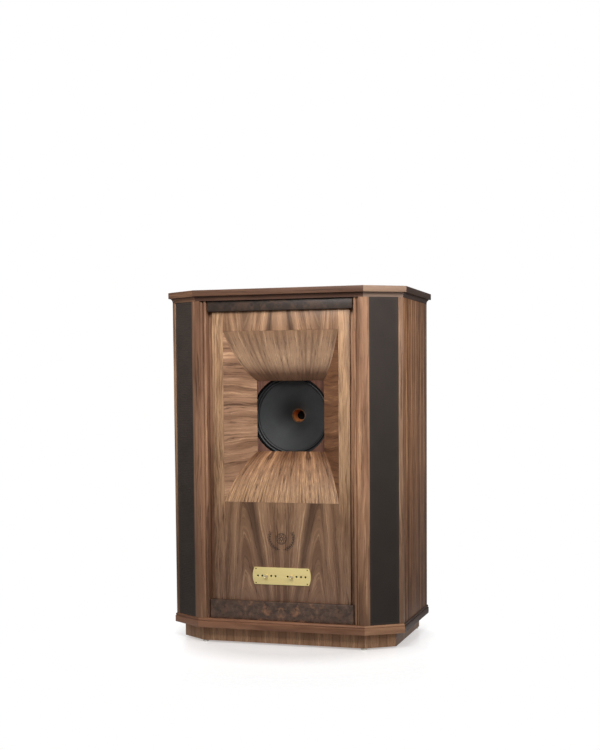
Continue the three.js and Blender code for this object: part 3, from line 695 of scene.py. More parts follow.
def add_base(wood):
    low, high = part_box("base_board")
    outline = plan_outline("base_board")
    edge_top = high.z - 10.7 * MM
    levels = rounded_edge(low.z, edge_top, 1.4 * MM)
    # A quirk, then a low bead up to the body.
    bead = (
        (3, 0), (3, 1.6), (1.9, 2.4), (1.4, 3.8), (1.5, 5.4),
        (2.2, 7.2), (3.4, 8.8), (4.8, 10), (6, 10.7),
    )
    levels += [(distance * MM, edge_top + rise * MM) for distance, rise in bead]
    finishes = (wood["base"], wood["base"], wood["base_right"], wood["side_edge"])
    slab = moulded_slab(outline, levels)
    tone_and_shade_edges(place("base_moulding", slab, finishes, "base_board"), EDGE_TONES_AND_SHADES)
    for name in ("front", "back", "side_left", "side_right", "chamfer_left", "chamfer_right"):
        finish = wood["plinth_side"] if name.startswith("side") else wood["plinth"]
        refinish(f"plinth_{name}", "veneered", 0.8 * MM, finish, grain=(UPRIGHT,))


def add_glides(finish):
    for end in ("front", "rear"):
        for side, _ in SIDES:
            refinish(f"glide_{end}_{side}", "pad", 0.5 * MM, finish, segments=3)


# --- body

def raised(outline, low, high):
    """A plan outline raised from low to high, grain upright, laid out round the outline."""
    count = len(outline)
    vertices = [(x, y, z) for z in (low, high) for x, y in outline]
    faces, corners = [], []
    walked = 0.0
    for i in range(count):
        after = (i + 1) % count
        step = math.dist(outline[i], outline[after])
        faces.append((i, after, count + after, count + i))
        corners.append([(walked, low), (walked + step, low), (walked + step, high), (walked, high)])
        walked += step
    for ring in (list(range(count))[::-1], [count + i for i in range(count)]):
        faces.append(tuple(ring))
        corners.append([vertices[v][:2] for v in ring])
    return mesh_of(vertices, faces, corners)


def pilaster_outline():
    """Plan section of the right post: rounded corner, flat, hollow, bead, and the rebate behind."""
    low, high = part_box("pilaster_right")
    points = points_of("pilaster_right")
    grille_edge = min((p for p in points if p.x > high.x - 0.1 * MM), key=lambda p: p.y)
    rail_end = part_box("burr_rail_top")[1].x + 3.3 * MM
    lip_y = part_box("front_baffle")[1].y + GAP
    front = low.y
    corner_x = plan_outline("top_board")[0][0] - 4.6 * MM
    bead, hollow, rounding = 6.5 * MM, 9 * MM, 9 * MM
    bead_centre = (rail_end + bead + 0.5 * MM, front + 13 * MM)
    hollow_centre = (314 * MM, front)
    rebate_x = 335 * MM
    corner = []
    pull = Vector((corner_x, front))
    start = pull - Vector((rounding, 0))
    end = pull + (grille_edge.xy - pull).normalized() * rounding
    for i in range(13):
        t = i / 12
        corner.append(tuple(start * (1 - t) ** 2 + pull * 2 * t * (1 - t) + end * t * t))
    rear = max(points, key=lambda p: p.y).y
    return [
        (low.x, rear),
        (low.x, lip_y),
        (rail_end, lip_y),
        *arc(bead_centre, bead, 180, 360, 20),
        *arc(hollow_centre, hollow, 90, 0, 12),
        *corner,
        tuple(grille_edge.xy),
        (grille_edge.x - 14 * MM, grille_edge.y + 20.7 * MM),
        (rebate_x, rear),
    ]


def mirrored(outline):
    return [(-x, y) for x, y in reversed(outline)]


def add_body(wood, ply):
    low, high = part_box("pilaster_right")
    post = pilaster_outline()
    for side, sign in SIDES:
        outline = post if sign > 0 else mirrored(post)
        mesh = raised(outline, low.z, high.z)
        place(f"pilaster_{side}_moulded", mesh, wood[f"post_{side}"], f"pilaster_{side}")
        for part, finish in (("side_panel", "side"), ("corner_strip", "strip")):
            grain = (UPRIGHT, sign * 0.31)
            refinish(f"{part}_{side}", "veneered", 0.8 * MM, wood[finish], grain=grain)
    refinish("back_panel", "painted", 0.8 * MM, ply)


def add_rails(burr):
    for end, radius in (("top", 1.0), ("bottom", 0.8)):
        refinish(f"burr_rail_{end}", "veneered", radius * MM, burr[end], angle=50)


# --- side grilles

HOLE_PITCH = 8 * MM
HOLE_RADIUS = 2.1 * MM
SHEET = 1.2 * MM
HEM_DEPTH = 2.2 * MM
CLOTH_FACES = (2.6 * MM, 3.2 * MM)  # depths of the cloth's front and back
CLOTH_SHARE = (0.98, 0.998)  # of the grille's width and height
CORNERS = ((-1, -1), (1, -1), (1, 1), (-1, 1))


def perforated(width, height):
    """A flat sheet of staggered round holes, in its own plane (u, v), as vertices, faces and width."""
    row_step = HOLE_PITCH * math.sqrt(3) / 2
    columns = int(width / HOLE_PITCH)
    rows = int(height / row_step)
    reach = HOLE_PITCH / math.sqrt(3)
    cell = [(reach * math.sin(math.pi / 3 * k), reach * math.cos(math.pi / 3 * k)) for k in range(6)]
    hole_sides = 8
    hole = [(HOLE_RADIUS * math.sin(math.pi / 4 * k), HOLE_RADIUS * math.cos(math.pi / 4 * k))
            for k in range(hole_sides)]
    vertices, faces = [], []
    for row in range(rows):
        v = (row + 0.5) * row_step - rows * row_step / 2
        for column in range(columns - row % 2):
            u = (column + 0.5 + 0.5 * (row % 2)) * HOLE_PITCH - columns * HOLE_PITCH / 2
            start = len(vertices)
            for depth in (0, SHEET):
                vertices += [(u + a, depth, v + b) for a, b in cell]
                vertices += [(u + a, depth, v + b) for a, b in hole]
            back = 6 + hole_sides
            for k in range(hole_sides):
                after = (k + 1) % hole_sides
                a, b = start + 6 + k, start + 6 + after
                faces.append((a, b, b + back, a + back))
                nearest = round(k * 6 / hole_sides + 0.25) % 6
                faces.append((a, start + nearest, b))
                faces.append((a + back, b + back, start + nearest + back))
            for k in range(6):
                after = (k + 1) % 6
                middle = round((k + 0.5) * hole_sides / 6) % hole_sides
                faces.append((start + k, start + after, start + 6 + middle))
                faces.append((start + after + back, start + k + back, start + 6 + middle + back))
    return vertices, faces, columns * HOLE_PITCH


def add_grilles(metals, backing):
    low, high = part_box("side_grille_right")
    points = points_of("side_grille_right")
    start = min(points, key=lambda p: p.y)
    end = max((p for p in points if p.x > high.x - 0.1 * MM), key=lambda p: p.x)
    run = Vector((end.x - start.x, end.y - start.y, 0))
    width, run = run.length, run.normalized()
    inward = Vector((-run.y, run.x, 0))
    centre = Vector((start.x + end.x, start.y + end.y, low.z + high.z)) / 2
    vertices, faces, holes_width = perforated(width, high.z - low.z)
    hem = (width - holes_width) / 2 + HOLE_PITCH / 2
    for side, sign in SIDES:
        metal = metals[side]

        def spot(u, depth, v):
            point = centre + run * u + inward * depth
            return (sign * point.x, point.y, centre.z + v)

        sheet = mesh_of([spot(u, d + 0.4 * MM, v) for u, d, v in vertices], faces)
        place(f"side_grille_{side}_perforated", tidied(sheet), metal, f"side_grille_{side}")

        # Hem: a flat frame that closes the sheet's cut edge.
        half_width, half_height = width / 2, (high.z - low.z) / 2
        ring = [(half_width, half_height), (half_width - hem, half_height - hem)]
        frame_points = [
            (u * a, depth, v * b)
            for depth in (0, HEM_DEPTH) for a, b in ring for u, v in CORNERS
        ]
        frame_faces = []
        for k in range(4):
            after = (k + 1) % 4
            frame_faces += [
                (k, after, 4 + after, 4 + k),
                (8 + k, 12 + k, 12 + after, 8 + after),
                (k, 8 + k, 8 + after, after),
                (4 + k, 4 + after, 12 + after, 12 + k),
            ]
        hem_mesh = mesh_of([spot(*point) for point in frame_points], frame_faces)
        place(f"side_grille_{side}_hem", tidied(hem_mesh), metal)

        cloth_points = [
            spot(u * half_width * CLOTH_SHARE[0], d, v * half_height * CLOTH_SHARE[1])
            for d in CLOTH_FACES for u, v in CORNERS
        ]
        cloth_faces = [(0, 1, 2, 3), (7, 6, 5, 4)] + [
            (k, 4 + k, 4 + (k + 1) % 4, (k + 1) % 4) for k in range(4)
        ]
        cloth_mesh = tidied(mesh_of(cloth_points, cloth_faces))
        lining = place(f"side_grille_{side}_cloth", cloth_mesh, backing)


# --- horn

FLARE_THICKNESS = 14 * MM
FLARE_OFFSET = 57 * MM  # a flare's height is this plus an exponential


def horn_shape():
    """The horn's measures from the CAD flares and cheeks."""
    low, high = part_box("horn_flare_top")
    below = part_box("horn_flare_bottom")[1].z
    cheek_low, cheek_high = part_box("horn_cheek_right")
    points = points_of("horn_cheek_right")
    return {
        "y": low.y,
        "depth": high.y - low.y,
        "z": (low.z + below) / 2,
        "throat": (low.z - below) / 2,
        "mouth": (cheek_high.z - cheek_low.z) / 2,
        "mouth_x": max(p.x for p in points if p.y < cheek_low.y + 0.1 * MM),
        "throat_x": min(p.x for p in points),
    }


def flare_mesh(h, sign):
    """One curved board of the horn: sign is 1 for the upper and -1 for the lower one."""
    steps, columns = 40, 24
    depth = h["depth"]
    growth = math.log((h["mouth"] - FLARE_OFFSET) / (h["throat"] - FLARE_OFFSET))
    lip = (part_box("front_baffle")[1].y + GAP - h["y"]) / depth

    def inner(t):
        return FLARE_OFFSET + (h["throat"] - FLARE_OFFSET) * math.exp(growth * (1 - t))

    def outer(t):
        """The face away from the sound: flush with the mouth within the baffle."""
        if t <= lip:
            return h["mouth"]
        slope = growth * (inner(t) - FLARE_OFFSET) / depth
        return inner(t) + FLARE_THICKNESS * math.hypot(1, slope)

    def half_width(t):
        return h["mouth_x"] + (h["throat_x"] - h["mouth_x"]) * t - GAP

    walked = [0.0]
    for i in range(steps):
        drop = inner(i / steps) - inner((i + 1) / steps)
        walked.append(walked[-1] + math.hypot(depth / steps, drop))
    vertices, faces, corners = [], [], []
    for face_height in (inner, outer):
        for i in range(steps + 1):
            t = i / steps
            for k in range(columns + 1):
                x = half_width(t) * (2 * k / columns - 1)
                vertices.append((x, h["y"] + depth * t, h["z"] + sign * face_height(t)))

    def quad(a, b, c, d, along):
        """The veneer fans out from the throat, so its grain is laid by the share of the width."""
        spots = []
        for v, s in zip((a, b, c, d), along):
            x, y, _ = vertices[v]
            spots.append((x / half_width((y - h["y"]) / depth) * h["mouth_x"], s))
        faces.append((a, b, c, d) if sign < 0 else (d, c, b, a))
        corners.append(spots if sign < 0 else spots[::-1])

    row = columns + 1
    sheet = (steps + 1) * row
    for i in range(steps):
        near, far = walked[i], walked[i + 1]
        for k in range(columns):
            a = i * row + k
            b = a + sheet
            quad(a, a + 1, a + 1 + row, a + row, (near, near, far, far))
            quad(b + row, b + row + 1, b + 1, b, (far, far, 0, 0))
        for a, b in ((i * row, (i + 1) * row), ((i + 1) * row + columns, i * row + columns)):
            quad(a, b, b + sheet, a + sheet, (near,) * 4)
    end = steps * row
    for k in range(columns):
        quad(end + k, end + k + 1, sheet + end + k + 1, sheet + end + k, (walked[-1],) * 4)
        quad(k + 1, k, sheet + k, sheet + k + 1, (0,) * 4)
    return tidied(mesh_of(vertices, faces, corners))


def add_horn(wood):
    h = horn_shape()
    for level, sign in (("top", 1), ("bottom", -1)):
        node = f"horn_flare_{level}"
        finish = wood[f"flare_{level}"]
        place(f"{node}_veneered", flare_mesh(h, sign), finish, node, angle=40)
    slope = Vector((h["throat_x"] - h["mouth_x"], h["depth"], 0))
    for side, sign in SIDES:
        grain = ((sign * slope.x, slope.y, 0), sign * 0.4)
        finish = wood[f"cheek_{side}"]
        refinish(f"horn_cheek_{side}", "veneered", 0.3 * MM, finish, grain=grain)


def add_baffle(wood):
    """The front board: an opening for the horn's mouth, and two slots behind the tap holes."""
    low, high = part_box("front_baffle")
    h = horn_shape()
    half_width, half_height = h["mouth_x"] + GAP, h["mouth"] + GAP
    outlines = [
        rectangle(low.x, low.z, high.x, high.z),
        rectangle(-half_width, h["z"] - half_height, half_width, h["z"] + half_height),
    ]
    slot_z, slot_half = middle("control_plate"), 8 * MM
    for sign in (-1, 1):
        inner, outer = sorted((sign * 17 * MM, sign * 106 * MM))
        outlines.append(rectangle(inner, slot_z - slot_half, outer, slot_z + slot_half))
    mesh = map_grain(plate(outlines, low.y, high.y, 0.5 * MM), UPRIGHT)
    place("front_baffle_veneered", mesh, wood["baffle"], "front_baffle")


def add_driver_board(wood, black):
    """The board that holds the driver; the wall of its round hole is black."""
    node = "driver_board"
    low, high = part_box(node)
    z = middle(node)
    radius = min(math.hypot(p.x, p.z - z) for p in points_of(node))
    outlines = [rectangle(low.x, low.z, high.x, high.z), circle(0, z, radius, 96)]
    mesh = map_grain(plate(outlines, low.y, high.y, 0.8 * MM), UPRIGHT)
    piece = place(f"{node}_veneered", mesh, (wood["board"], black), node)
    for face in piece.data.polygons:
        if math.hypot(face.center.x, face.center.z - z) < radius + 1.2 * MM:
            face.material_index = 1


# --- driver

NECK_RADIUS = 28 * MM
NECK_INSET = 2.2 * MM  # how far the cone's neck is from the back of its CAD box
SURROUND_RADIUS = 162.5 * MM
ROLL_HEIGHT = 4.4 * MM
THROAT_BORE = 16.5 * MM
SHADE_DISC_DEPTH = 36 * MM
FORMER_RADII = (26.3 * MM, 27.7 * MM)
FORMER_SPAN = (-3 * MM, 59 * MM)  # along the axis, from the cone's neck


def block(inner, outer, front, rear):
    """A rectangular profile for turned()."""
    return [(inner, front), (outer, front), (outer, rear), (inner, rear)]


def add_cone(z, finishes):
    low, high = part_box("cone")
    rim_r, rim_y = high.x, low.y
    neck_y = high.y - NECK_INSET
    share_span = rim_r - 26 * MM

    def cone_y(radius):
        share = (rim_r - radius) / share_span
        return rim_y + (neck_y - rim_y) * (0.72 * share + 0.28 * share ** 3)

    steps = 44
    radii = [rim_r + (NECK_RADIUS - rim_r) * i / steps for i in range(steps + 1)]
    front = [(r, cone_y(r)) for r in radii]
    rear = [(r, cone_y(r) + 1.6 * MM) for r in reversed(radii)]
    mesh = turned(front + rear, (0, z), 128)
    cone = place("cone_skin", mesh, finishes["cone_paper"], "cone", None, 60)
    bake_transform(cone)


def add_surround(z, rubber):
    """Two rolls between the clamped flange and the cone's rim, and the gasket over the flange."""
    low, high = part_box("cone")
    flange_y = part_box("driver_frame")[0].y - 1.3 * MM
    inner_r, rim_y = high.x + 0.4 * MM, low.y
    waves, points = 2, 24
    rolls = [(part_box("cone_surround")[1].x, flange_y)]
    for i in range(points * waves + 1):
        t = i / (points * waves)
        crest = ROLL_HEIGHT * abs(math.sin(math.pi * waves * t)) ** 0.7
        radius = SURROUND_RADIUS + (inner_r - SURROUND_RADIUS) * t
        rolls.append((radius, flange_y + (rim_y - flange_y) * t - crest))
    back = [(r, y + 0.9 * MM) for r, y in reversed(rolls)]
    mesh = turned(rolls + back, (0, z), 128)
    place("surround_rolls", mesh, rubber, "cone_surround", angle=50)
    place("gasket_ring", softened("driver_gasket", 0.8 * MM), rubber, "driver_gasket")


def add_throat(z, finishes):
    """The high-frequency horn: a copper-coloured tulip with a black disc deep in its bore that stands in for
    the shade there.
    """
    low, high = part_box("hf_throat")
    lip_r, front = high.x, low.y + 0.6 * MM
    steps = 20
    flare = []
    for i in range(steps + 1):
        t = i / steps
        radius = THROAT_BORE + (lip_r - 0.8 * MM - THROAT_BORE) * (1 - t) ** 1.6
        flare.append((radius, front + (high.y - low.y - 0.6 * MM) * t))
    lip_in = lip_r - 0.4 * MM
    outer = [(lip_in, high.y), (lip_r, low.y + 1.2 * MM), (lip_in, low.y)]
    mesh = turned(flare + outer, (0, z), 96)
    place("hf_throat_tulip", mesh, finishes["copper"], "hf_throat", angle=50)
    # A black disc deep in the bore: painted shade where the bore goes dark.
    shade_disc_y = low.y + SHADE_DISC_DEPTH
    shade_disc = turned(block(0, THROAT_BORE + 3 * MM, shade_disc_y, shade_disc_y + 1 * MM), (0, z), 48)
    place("hf_throat_shade_disc", shade_disc, finishes["black_paint"])


def add_driver(finishes):
    z = middle("cone")
    add_cone(z, finishes)
    add_surround(z, finishes["black_rubber"])
    add_throat(z, finishes)
    neck_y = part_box("cone")[1].y - NECK_INSET
    former = turned(block(*FORMER_RADII, *[neck_y + reach for reach in FORMER_SPAN]), (0, z), 96)
    finish = finishes["coil_former"]
    place("coil_former", former, finish, "voice_coil_former", "cone_assembly")


# --- controls

TAPS = (25, 43, 61.5, 80, 98)  # mm from the plate's middle to each hole of one side
TAP_RADIUS = 4 * MM
THUMBSCREW_HEAD = 12 * MM  # height
THUMBSCREW_SHANK = 2.5 * MM  # radius


def countersunk(name, x, z, y_face, radius, finish, facing, turn):
    """A slotted screw head set into a face at y_face, facing -Y or +Y."""
    depth = 0.5 * MM
    dome = [
        (radius * math.sin(a), y_face + facing * depth * math.cos(a))
        for a in [math.pi / 2 * i / 6 for i in range(7)]
    ]
    profile = dome + [(radius * 0.8, y_face - facing * 1.2 * MM), (0, y_face - facing * 1.2 * MM)]
    mesh = turned(profile, (x, z), 28)
    shape = bmesh.new()
    shape.from_mesh(mesh)
    angle = math.radians(turn)
    half = 0.16 * radius
    cross = Vector((-math.sin(angle), 0, math.cos(angle)))
    for offset in (-half, half):
        geometry = shape.verts[:] + shape.edges[:] + shape.faces[:]
        spot = Vector((x, y_face, z)) + cross * offset
        bmesh.ops.bisect_plane(shape, geom=geometry, plane_co=spot, plane_no=cross)
    for vertex in shape.verts:
        from_middle = abs((vertex.co - Vector((x, y_face, z))).dot(cross))
        if from_middle < half * 0.98 and facing * (vertex.co.y - y_face) > 0:
            vertex.co.y = y_face - facing * 0.1 * MM
    shape.to_mesh(mesh)
    shape.free()
    return place(name, mesh, finish, angle=40)


def add_screws(name, spots, y_face, radius, finish, facing, turn, turn_step):
    """Screws at (x, z) spots, numbered from 1, each slot turned further than the last."""
    for number, (x, z) in enumerate(spots, start=1):
        slot_turn = turn + turn_step * number
        countersunk(f"{name}_{number}", x, z, y_face, radius, finish, facing, slot_turn)


def corner_spots(z, reach_x, reach_z):
    """The four corners of a plate that is centred on x = 0."""
    return [(sx * reach_x, z + sz * reach_z) for sx in (-1, 1) for sz in (-1, 1)]


def add_control_plate(finishes):
    """A plate with bowed ends, two rows of tap holes and a screw in each corner."""
    low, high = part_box("control_plate")
    z = middle("control_plate")
    straight = max(p.x for p in points_of("control_plate") if p.z > high.z - 0.1 * MM)
    half_height = (high.z - low.z) / 2
    bulge = high.x - straight
    bow = (half_height ** 2 + bulge ** 2) / (2 * bulge)
    sweep = math.degrees(math.asin(half_height / bow))
    right = arc((high.x - bow, z), bow, -sweep, sweep, 18)
    left = [(-x, 2 * z - level) for x, level in right]
    holes = [circle(sign * tap * MM, z, TAP_RADIUS, 24) for sign in (-1, 1) for tap in TAPS]
    mesh = plate([right + left] + holes, low.y, high.y, 0.45 * MM)
    place("control_plate_brushed", mesh, finishes["brass"], "control_plate")
    margin = 6 * MM
    spots = corner_spots(z, straight - margin, half_height - margin)
    add_screws("plate_screw", spots, low.y, 3 * MM, finishes["brass_screw"], -1, 20, 35)


def add_thumbscrew(side, finishes):
    """A dished head on a shank, a knurled band round the head, and a washer."""
    node = f"thumbscrew_{side}"
    low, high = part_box(node)
    centre = (middle(node, "x"), middle(node))
    radius = high.x - centre[0]
    front, back = low.y, low.y + THUMBSCREW_HEAD
    shank = THUMBSCREW_SHANK
    band_front, band_back = front + 1.4 * MM, back - 2 * MM
    profile = [
        (0, band_front),
        (radius * 0.4, front + 1.2 * MM),
        (radius * 0.66, front + 0.5 * MM),
        (radius * 0.78, front),
        (radius * 0.86, front),
        (radius * 0.93, front + 0.5 * MM),
        (radius * 0.93, band_front),
        (radius * 0.93, band_back),
        (radius * 0.75, back - 0.4 * MM),
        (shank, back),
        (shank, high.y - 1 * MM),
        (shank * 0.7, high.y),
        (0, high.y),
    ]
    finish, body = finishes["turned_brass"], f"screw_{side}"
    place(f"{node}_turned", turned(profile, centre, 48), finish, node, body, 30)
    band = [
        (radius * 0.97, band_front),
        (radius, front + 2 * MM),
        (radius, back - 2.6 * MM),
        (radius * 0.97, band_back),
        (radius * 0.9, band_back),
        (radius * 0.9, band_front),
    ]
    knurl = turned(band, centre, 72, knurl=0.045)
    place(f"{node}_knurl", knurl, finish, (), body, 30)
    washer = f"thumbscrew_washer_{side}"
    refinish(washer, "disc", 0.2 * MM, finishes["brass"], f"washer_{side}")


def add_ornament(finish):
    """A rosette in a ring between two leaf sprays, on the baffle above the control plate."""
    face_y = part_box("front_baffle")[0].y
    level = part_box("control_plate")[1].z + 108 * MM
    data = bpy.data.curves.new("ornament", "CURVE")
    data.dimensions = "3D"
    data.bevel_depth = 0.85 * MM
    data.bevel_resolution = 1

    def stroke(points, closed=False):
        spline = data.splines.new("BEZIER")
        spline.bezier_points.add(len(points) - 1)
        spline.use_cyclic_u = closed
        spline.resolution_u = 6
        for knot, (x, z) in zip(spline.bezier_points, points):
            knot.co = (x * MM, face_y + 0.3 * MM, level + z * MM)
            knot.handle_left_type = knot.handle_right_type = "AUTO"

    def leaf(x, z, length, width, angle):
        """A pointed leaf from its stalk at x, z."""
        cos, sin = math.cos(angle), math.sin(angle)
        shape = ((0, 0), (0.35, 1), (0.75, 0.7), (1, 0), (0.75, -0.7), (0.35, -1))
        ends = [(a * length, b * width) for a, b in shape]
        stroke([(x + cos * a - sin * b, z + sin * a + cos * b) for a, b in ends], closed=True)

    for radius in (22, 19, 5):
        stroke(circle(0, 6, radius, 16), closed=True)
    petals = 8
    for k in range(petals):
        angle = 2 * math.pi * (k + 0.5) / petals
        leaf(5.5 * math.cos(angle), 6 + 5.5 * math.sin(angle), 12, 3.4, angle)
    # Two sprays curve out from under the ring and up its sides.
    for _, sign in SIDES:
        angles = [math.radians(-84 + 13 * k) for k in range(9)]
        spine = [(50 * math.cos(a), 8 + 46 * math.sin(a)) for a in angles]
        stroke([(sign * x, z) for x, z in spine])
        for k in range(1, 9):
            x, z = spine[k]
            heading = angles[k] + math.pi / 2
            for lean in (0.55, -0.55):
                angle = heading + lean
                leaf(sign * x, z, 11, 2.6, angle if sign > 0 else math.pi - angle)
    place("engraved_ornament", mesh_of_curve(data), finish)


# --- back

CAP_FINISHES = {"positive": ("red_plastic", "red_cap"), "negative": ("black_plastic", "black_cap")}


def add_cap_nut(name, finishes):
    """A knurled terminal cap with a shallow hollow in its outer end."""
    node = f"terminal_cap_{name}"
    low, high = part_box(node)
    centre = (middle(node, "x"), middle(node))
    radius = high.x - centre[0]
    bore = 3.3 * MM
    profile = [
        (bore, low.y), (radius * 0.95, low.y), (radius, low.y + 1 * MM),
        (radius, high.y - 2 * MM), (radius * 0.9, high.y - 1 * MM), (radius * 0.8, high.y),
        (0, high.y), (0, high.y - 1.6 * MM), (bore, high.y - 1.6 * MM),
    ]
    mesh = turned(profile, centre, 48, knurl=0.05)
    finish, slot = CAP_FINISHES[name]
    place(f"{node}_knurled", mesh, finishes[finish], node, f"cap_{name}", 25)


def add_back(finishes):
    """The terminal plate with its screws and caps, and the screws round the back panel."""
    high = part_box("terminal_plate")[1]
    refinish("terminal_plate", "moulded", 0.6 * MM, finishes["bakelite"])
    z = middle("terminal_plate")
    panel_low, panel_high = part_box("back_panel")
    plate_face = panel_high.y + 3.3 * MM
    spots = corner_spots(z, high.x - 7 * MM, high.z - z - 7 * MM)
    add_screws("terminal_screw", spots, plate_face, 3 * MM, finishes["brass_screw"], 1, 0, 40)
    for name in CAP_FINISHES:
        add_cap_nut(name, finishes)
    # Seven screws up each side of the panel, then three more along its bottom and its top.
    rows, margin = 7, 30 * MM
    span = panel_high.z - panel_low.z - 2 * margin
    side_x = panel_high.x - 22 * MM
    spots = [
        (sign * side_x, panel_low.z + margin + span * row / (rows - 1))
        for sign in (-1, 1) for row in range(rows)
    ]
    for level in (panel_low.z + margin, panel_high.z - margin):
        spots += [(step * panel_high.x * 0.47, level) for step in (-1, 0, 1)]
    steel = finishes["black_steel"]
    add_screws("panel_screw", spots, panel_high.y, 4.5 * MM, steel, 1, 0, 33)


# --- pieces inside

def finish_inside(finishes):
    """Gives every CAD node that keeps its own mesh its material."""
    for entry in frame["record"]["subparts"]:
        node = frame["nodes"][entry["node"]]
        if node.hide_render:
            continue
        for holder in node.material_slots:
            holder.link = "OBJECT"
            holder.material = finishes[entry["material_slot"]]


# --- studio

def add_floor():
    """A pale floor that fades out into the white surroundings."""
    reach = 6
    g = Graph("studio_floor")
    cloud = g.noise(g.position(), 0.7, 2)
    distance = g.node("VectorMath", {0: g.position()}, operation="LENGTH").outputs["Value"]
    corners = [(x * reach, y * reach, 0) for x, y in CORNERS]
    floor = bpy.data.objects.new("floor", mesh_of(corners, [(0, 1, 2, 3)]))
    floor.data.materials.append(g.surface(
        Base_Color=g.mix(cloud, 248, 252),
        Roughness=0.16,
        Specular_IOR_Level=0.4,
        Alpha=g.remap(distance, 0.48, 0.95, 1.0, 0.0),
        Emission_Color=(1, 1, 1, 1),
        Emission_Strength=g.remap(distance, 0.4, 0.6, 0.36, 0.62),
    ))
    SCENE.collection.objects.link(floor)
    floor.visible_diffuse = False
    floor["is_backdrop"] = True


def add_world():
    """White where the camera sees it, and a weaker white light on everything."""
    world = bpy.data.worlds.new("studio")
    world.use_nodes = True
    tree = world.node_tree
    tree.nodes.clear()
    kinds = ("Background", "Background", "LightPath", "MixShader", "OutputWorld")
    light, seen, path, mix, output = [tree.nodes.new("ShaderNode" + kind) for kind in kinds]
    for background, strength in ((light, 0.3), (seen, 1.0)):
        background.inputs[0].default_value = (1, 1, 1, 1)
        background.inputs[1].default_value = strength
    tree.links.new(path.outputs["Is Camera Ray"], mix.inputs[0])
    tree.links.new(light.outputs[0], mix.inputs[1])
    tree.links.new(seen.outputs[0], mix.inputs[2])
    tree.links.new(mix.outputs[0], output.inputs[0])
    SCENE.world = world


def add_lamps():
    """Three soft lamps: name, place, target, width, power and spread in degrees."""
    lamps = (
        ("key", (0.35, -2.0, 2.45), (0, -0.2, 1.5), 1.0, 13.5, 78),
        ("side", (3.2, -1.6, 2.6), (0.3, 0, 1.5), 1.8, 10.5, 70),
        ("rear", (-2.2, 3.4, 2.6), (0, 0, 0.7), 2.5, 60, 180),
    )
    for name, spot, target, width, power, spread in lamps:
        data = bpy.data.lights.new(name, "AREA")
        data.size = width
        data.energy = power
        data.spread = math.radians(spread)
        lamp = bpy.data.objects.new(name, data)
        lamp.location = spot
        lamp.rotation_euler = (Vector(target) - Vector(spot)).to_track_quat("-Z", "Y").to_euler()
        lamp.visible_camera = False
        SCENE.collection.objects.link(lamp)


# --- the whole object

# Each wood: its tone, the seed of its figure, and where it departs from plain walnut. Each veil is painted
# light and shade along the piece, with a painted sheen on the upper flare.
WOODS = (
    # cap_right, cove_right and base_right are lighter copies for the right chamfers: painted light.
    ("cap_front", (95, 66, 49), 1.0, {"contrast": 0.8}),
    ("cap_left", (145, 106, 80), 1.5, {}),
    ("cap_right", (150, 122, 101), 1.8, {"contrast": 0.6}),
    ("cove_front", (92, 64, 50), 2.0, {"contrast": 0.6}),
    ("cove_right", (128, 106, 92), 2.3, {"contrast": 0.6}),
    ("side_edge", (76, 56, 46), 2.6, {"contrast": 0.6, "gloss": 0.1}),
    ("base", (157, 111, 83), 3.0, {"contrast": 0.7}),
    ("base_right", (181, 135, 102), 3.4, {"contrast": 0.7}),
    ("plinth", (186, 143, 110), 4.0, {"leaf": 0.11, "gloss": 0.1, "contrast": 1.2, "fineness": 1.4}),
    ("plinth_side", (128, 99, 78), 4.4, {"leaf": 0.11, "gloss": 0.1, "fineness": 1.4}),
    ("post_left", (154, 114, 88), 5.0, {
        "contrast": 1.2, "painted_shading": ((0, 228), (0.7, 255), (1.4, 226))}),
    ("post_right", (182, 137, 105), 5.5, {
        "contrast": 1.1, "painted_shading": ((0, (206, 208, 212)), (0.7, 255), (1.4, 212))}),
    ("strip", (168, 131, 104), 6.0, {
        "gloss": 0.15, "contrast": 1.4, "painted_shading": ((0, (206, 204, 208)), (0.7, 224), (1.4, 255))}),
    ("side", (157, 113, 82), 7.0, {
        "leaf": 0.16, "gloss": 0.06, "contrast": 1.8, "fineness": 1.3,
        "painted_shading": ((0, (206, 202, 204)), (0.7, 255), (1.4, (244, 242, 238)))}),
    ("baffle", (157, 121, 92), 8.0, {
        "arches": True, "contrast": 1.3, "fineness": 1.4,
        "painted_shading": ((0, (232, 230, 246)), (0.6, 255), (1.4, 255))}),
    ("flare_top", (191, 154, 122), 9.0, {
        "leaf": 0.12, "waver": 0.03, "gloss": 0.5, "contrast": 1.3, "fineness": 1.7,
        "painted_shading": ((0, (216, 208, 200)), (0.055, (228, 226, 224)), (0.1, 255),
                 (0.15, 255), (0.178, (214, 205, 203)), (0.195, (170, 156, 148)))}),
    ("flare_bottom", (176, 136, 103), 10.4, {
        "leaf": 0.12, "waver": 0.04, "contrast": 1.6, "fineness": 1.7,
        "painted_shading": ((0, (255, 255, 250)), (0.07, (250, 250, 246)), (0.13, (246, 242, 238)),
                 (0.17, (240, 234, 230)), (0.2, (214, 202, 194)))}),
    ("cheek_left", (170, 132, 104), 11.0, {"contrast": 1.3, "waver": 0.11, "fineness": 1.2}),
    ("cheek_right", (147, 104, 75), 12.0, {"contrast": 1.3, "waver": 0.11, "fineness": 1.2}),
    ("board", (104, 70, 56), 13.0, {}),
    ("top", (96, 69, 52), 14.0, {"leaf": 0.25, "contrast": 1.1, "gloss": 0.1}),
)

